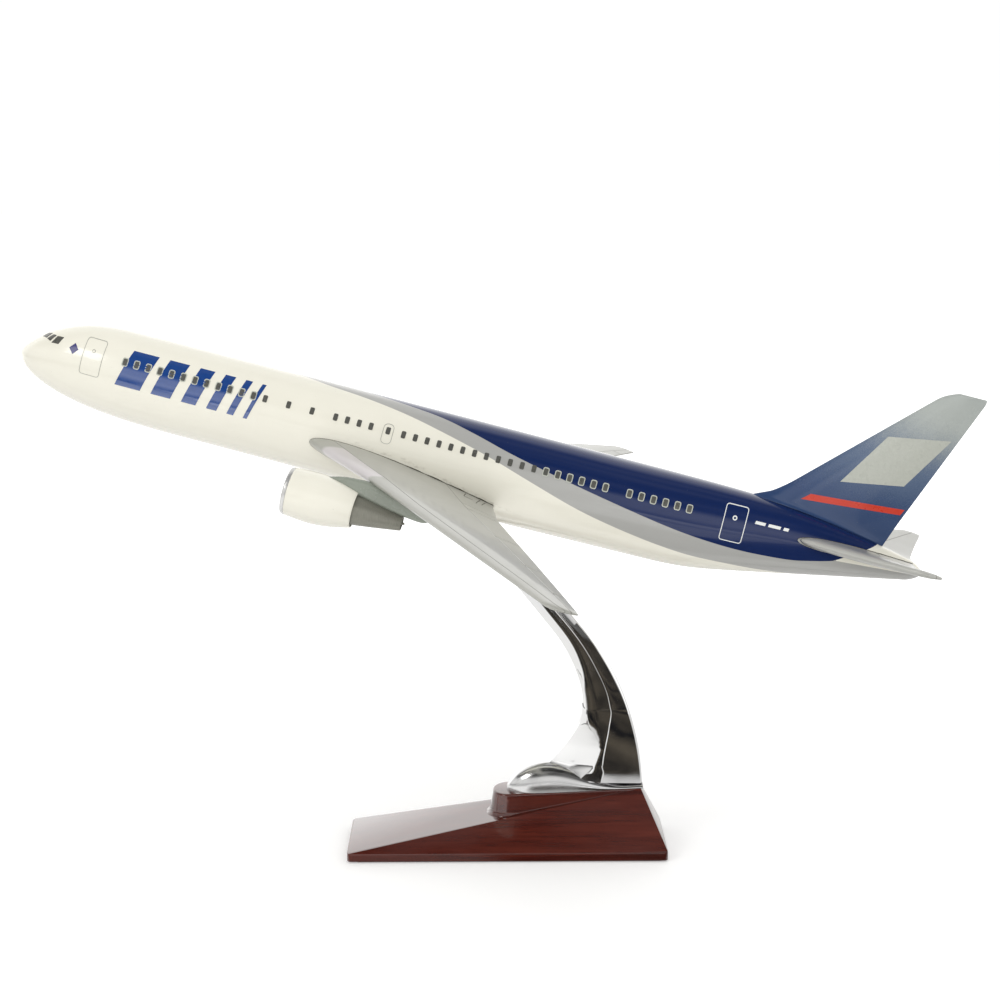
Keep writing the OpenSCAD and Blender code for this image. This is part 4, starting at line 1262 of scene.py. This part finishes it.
def arm_ring(row):
    """A section with a bevelled front, a ridge along each side and a rounded rear edge."""
    front, rear, half = row[0:2], row[2:4], row[4]
    depth = np.hypot(*(rear - front))
    b, m = float(curve(BEVEL_AT, row[5])), float(curve(WIDEST_AT, row[5]))
    edge, crease = float(curve(EDGE_SHARE_AT, row[5])), float(curve(CREASE_SHARE_AT, row[5]))
    soft, back = 0.35 / depth, 1.1 / depth
    front_edge = [(0, edge), (0.25 / depth, edge + 0.08)]
    bevel = [(b * 0.5 + 0.1 / depth, lerp(edge, crease, 0.55)), (b - soft * 0.3, crease - 0.035),
             (b + soft, crease), (lerp(b, m, 0.55), lerp(crease, 0.99, 0.5))]
    ridge = [(m - 1.9 * soft, 0.974), (m - soft, 0.978), (m, 1.0), (m + 0.6 * soft, 0.985),
             (m + 1.5 * soft, 0.981), (lerp(m, 1, 0.4), 0.93)]
    rear_edge = [(1 - back, 0.85), (1 - back * 0.55, 0.77), (1 - back * 0.2, 0.62), (1, 0.40)]
    shape = np.array(front_edge + bevel + ridge + rear_edge)
    line = front + (rear - front) * shape[:, :1]
    right = np.column_stack([shape[:, 1] * half, line])
    return np.concatenate([right, (right * [-1, 1, 1])[::-1]])


def foot_w(y):
    """Half width of the teardrop foot."""
    ahead = np.maximum(FOOT_WIDEST_Y - y, 0) / (FOOT_WIDEST_Y - FOOT_FRONT)
    front = FOOT_HALF_W * np.sqrt(np.maximum(0.0004, 1 - ahead**2))
    rear = lerp(FOOT_HALF_W, FOOT_REAR_HALF_W, smooth((y - FOOT_WIDEST_Y) / 60) * 1.05)
    return np.where(y < FOOT_WIDEST_Y, front, rear)


def foot_top(y):
    """Height of the foot's crown."""
    rise = FOOT_TOP_Z - plinth_z(y)
    front = rise * np.maximum(0.0004, 1 - (1 - (y - FOOT_FRONT) / (FOOT_PEAK_Y - FOOT_FRONT)) ** 2) ** 0.56
    back = lerp(rise, FOOT_TAIL_H, smooth((y - FOOT_PEAK_Y) / 40))
    return plinth_z(y) + np.where(y < FOOT_PEAK_Y, front, back)


def foot_rings():
    ys = np.concatenate([FOOT_FRONT + 0.001 + 22 * (np.arange(28) / 28) ** 1.9,
                         np.linspace(FOOT_FRONT + 22, FOOT_REAR, 40)])
    a = np.linspace(0, math.pi, 48)
    rings = []
    for y in ys:
        w, low, top = float(foot_w(y)), float(plinth_z(y)) + 0.02, float(foot_top(y))
        rings.append(np.stack([w * np.cos(a), np.full_like(a, y), low + (top - low) * np.sin(a) ** 0.85], -1))
    return rings


def build_arm():
    arm = solid(*loft([arm_ring(r) for r in smooth_rows(arm_stations())]))
    boolean(arm, [solid(*loft(foot_rings())), rod(BOSS_R, -BOSS_L, -2.85, from_pin)], "UNION")
    cutters = [rod(PIN_R + RUN_FIT, -PIN_LOW - 0.1, 7, from_pin)]
    cutters += [rod(SCREW_R + RUN_FIT, 20, 40.5, at_screw(y)) for y in SCREW_YS]
    boolean(arm, cutters, "DIFFERENCE")
    rename(arm, "chrome_arm")
    finish_piece(arm, CHROME, "stand", "stand_arm", "chrome", 32)


# ------------------ CAD nodes that stay
def dress_cad_nodes():
    finishes = {"felt_pad": (FELT, "felt"), "pin_collar": (CHROME, "chrome"), "belly_bush": (BRASS, "brass")}
    for name in ("arm_screws", "screw_washers", "swivel_pin", "wing_rods", "fin_pegs", "tailplane_rod",
                 "left_fan_axle", "right_fan_axle"):
        finishes[name] = (STEEL, "steel")
    for name, finish in finishes.items():
        dress(NODES[name], *finish)


# ------------------ studio
EVEN_LIGHT, WHITE_SWEEP = 0.73, 1.5
TABLE_EDGE_X, GAP_END_X, EDGE_SOFT = 0.095, 0.45, 0.02
FRONT_SLANT, SKY_SLANT, REAR_SLANT, FRONT_GLOW, SLANT_SOFT = 0.30, 0.40, 0.27, 0.25, 0.012
# Painted contact shade: the dark line that mirrors see where the object meets the table: (from, full), (full
# to, none)
CONTACT_IN, CONTACT_OUT = (0.0235, 0.026), (0.034, 0.04)
TABLE_GREY, TABLE_PALE = (0.84, 0.84, 0.84), (0.87, 0.87, 0.87)
ROOM_DARK, ROOM_WARM = (0.008, 0.009, 0.012), (0.105, 0.09, 0.07)
FLOOR_HALF = 6.0
# The mirrored surroundings, by direction: where the room, the bright strip, the window and the sweep fade
ROOM_SIDE, STRIP_TOP, SWEEP_FADE = (-0.48, -0.2), (0.03, 0.06), (0.4, 0.9)
WINDOW_LOW, WINDOW_TOP, WINDOW_LIGHT = (0.02, 0.2), (0.42, 0.58), 0.72
ROOM_LIGHT, PAPER_LIGHT, PAPER_WHITE = (0.012, 0.22), 1.02, (1, 0.995, 0.985)


def build_floor():
    """A pale table that reads white to the camera. In mirrors it ends in a dark room on the camera's side."""
    shader = Shader("studio_floor")
    grain = shader.noise(9, 3)
    pale = shader.mix(grain, TABLE_GREY, TABLE_PALE)
    x, y, _ = shader.split(shader.node("ShaderNodeNewGeometry").outputs["Position"])
    distance = shader.maths("SQRT", shader.plus(shader.times(x, x), shader.times(y, y)))
    path = shader.node("ShaderNodeLightPath")
    seen, mirrored = path.outputs["Is Camera Ray"], path.outputs["Is Glossy Ray"]
    gap = shader.ease(x, TABLE_EDGE_X, TABLE_EDGE_X + EDGE_SOFT)
    beyond = shader.ease(x, GAP_END_X, GAP_END_X + EDGE_SOFT)
    slant = shader.times_plus(x, FRONT_SLANT, y)
    side_on = shader.ease(slant, -SLANT_SOFT, SLANT_SOFT)
    away = shader.times_plus(x, -REAR_SLANT, y)
    beyond = shader.times(beyond, shader.ease(away, -SLANT_SOFT, SLANT_SOFT, 1.0, 0.0))
    gap = shader.times(shader.minus(gap, beyond), side_on)
    # Painted contact shade on the floor, seen only by glossy rays
    contact_shade = shader.times(shader.band(x, *CONTACT_IN), shader.band(x, *CONTACT_OUT, 1.0, 0.0))
    room = shader.maths("MAXIMUM", gap, contact_shade)
    patches = shader.band(shader.noise(15, 4, 0.6), 0.38, 0.66)
    clutter = shader.mix(patches, ROOM_DARK, ROOM_WARM)
    colour = shader.mix(shader.times(room, mirrored), pale, clutter)
    to_white = shader.ease(distance, 0.1, 0.5, 0.26, 0.6)
    sweep = shader.ease(x, -0.25, -1.2, 0.0, WHITE_SWEEP - 0.6)
    ahead = shader.times_plus(side_on, -FRONT_GLOW, FRONT_GLOW)
    mirror_glow = shader.times(mirrored, shader.plus(sweep, ahead))
    glow = shader.plus(shader.times(seen, to_white), mirror_glow)
    material = shader.set(Base_Color=colour, Roughness=0.6, Specular_IOR_Level=0.0, Emission_Color=(1, 1, 1),
                          Emission_Strength=glow)
    corners = [(x * FLOOR_HALF, y * FLOOR_HALF, 0) for x, y in ((-1, -1), (1, -1), (1, 1), (-1, 1))]
    mesh = bpy.data.meshes.new("studio_floor")
    mesh.from_pydata(corners, [], [(0, 1, 2, 3)])
    mesh.materials.append(material)
    link_new("studio_floor", mesh)


def build_world():
    """White to the camera, even light for shading, and for mirrors a pale sweep behind the object with a dark
    room on the camera's side."""
    world = bpy.data.worlds.new("studio")
    bpy.context.scene.world = world
    world.use_nodes = True
    world.node_tree.nodes.clear()
    sky = Nodes(world.node_tree)

    def blend(factor, a, b):
        return sky.plus(sky.times(factor, b), sky.times(sky.minus(1.0, factor), a))

    path = sky.node("ShaderNodeLightPath").outputs
    way = sky.node("ShaderNodeTexCoord").outputs["Generated"]
    x, y, z = sky.split(way)
    clutter = sky.node("ShaderNodeTexNoise", {"Vector": way, "Scale": 3.6, "Detail": 5.0}).outputs[0]
    ragged = sky.times(sky.minus(clutter, 0.5), 0.3)
    near_side = sky.ease(sky.plus(x, ragged), *ROOM_SIDE)
    ahead = sky.ease(sky.plus(y, sky.times(x, SKY_SLANT)), -0.08, 0.0)
    ahead = sky.times(ahead, sky.ease(sky.minus(y, sky.times(x, REAR_SLANT)), 0.0, 0.05, 1.0, 0.0))
    bright_strip = sky.times(sky.ease(z, *STRIP_TOP, 1.0, 0.0), ahead)
    dark = sky.times(near_side, sky.minus(1.0, bright_strip))
    window = sky.times(sky.ease(z, *WINDOW_LOW, 0.0, WINDOW_LIGHT), sky.ease(z, *WINDOW_TOP, 1.0, 0.0))
    room = sky.plus(sky.ease(clutter, 0.42, 0.66, *ROOM_LIGHT), window)
    sweep = sky.ease(z, *SWEEP_FADE, WHITE_SWEEP, 0.5 * WHITE_SWEEP)
    light = blend(path["Is Glossy Ray"], EVEN_LIGHT, blend(dark, sweep, room))
    light = blend(path["Is Camera Ray"], light, PAPER_LIGHT)
    paper = sky.node("ShaderNodeBackground", {"Color": PAPER_WHITE, "Strength": light})
    sky.node("ShaderNodeOutputWorld", {"Surface": paper.outputs[0]})


def point_at(obj, place, aim, roll=0.0):
    obj.location = place
    obj.rotation_mode = "QUATERNION"
    turn = Quaternion((0, 0, 1), math.radians(roll))
    obj.rotation_quaternion = (aim - place).to_track_quat("-Z", "Y") @ turn


# Area lights: place in metres, size, power, colour and whether mirrors show them
LIGHTS = {"key_front": ((0.75, -0.95, 1.05), (0.5, 0.4), 3.2, (1, 0.99, 0.97), True),
          "fill_camera": ((1.6, 0.1, 0.55), (1.6, 1.0), 6.3, (1, 1, 1), False),
          "top_soft": ((0.1, 0.0, 1.5), (1.4, 1.4), 3.3, (1, 1, 1), False),
          "fill_far": ((-1.5, 0.3, 0.7), (1.2, 0.9), 3.0, (1, 1, 1), False)}
LIGHTS_AIM = (0.0, 0.0, 0.16)


def build_lights():
    for name, (place, size, power, colour, mirrored) in LIGHTS.items():
        data = bpy.data.lights.new(name, "AREA")
        data.shape, data.size, data.size_y = "RECTANGLE", *size
        data.energy, data.color = power, colour
        light = link_new(name, data)
        point_at(light, Vector(place), Vector(LIGHTS_AIM))
        light.visible_glossy = mirrored
        light.visible_camera = False


CAMERA_AT = (855.07, -12.87, 367.31)
CAMERA_AIM = (0.0, 10.97, 147.1)
CAMERA_LENS, CAMERA_ROLL = 63.387, 0.406
# The aircraft sits off the lens axis, so the lens is shifted.
CAMERA_SHIFT = (-0.0316, 0.0715)


def build_camera():
    data = bpy.data.cameras.new("camera")
    data.sensor_width, data.lens = 36.0, CAMERA_LENS
    data.shift_x, data.shift_y = CAMERA_SHIFT
    data.clip_start, data.clip_end = 0.01, 50
    camera = link_new("camera", data)
    point_at(camera, Vector(CAMERA_AT) * MM, Vector(CAMERA_AIM) * MM, CAMERA_ROLL)
    bpy.context.scene.camera = camera


for build in (build_fuselage, build_hull_marks, build_wings, build_fin, build_fin_marks, build_engines,
              build_base, build_arm, dress_cad_nodes, build_floor, build_world, build_lights, build_camera):
    build()
bpy.context.scene.view_settings.view_transform = "Standard"
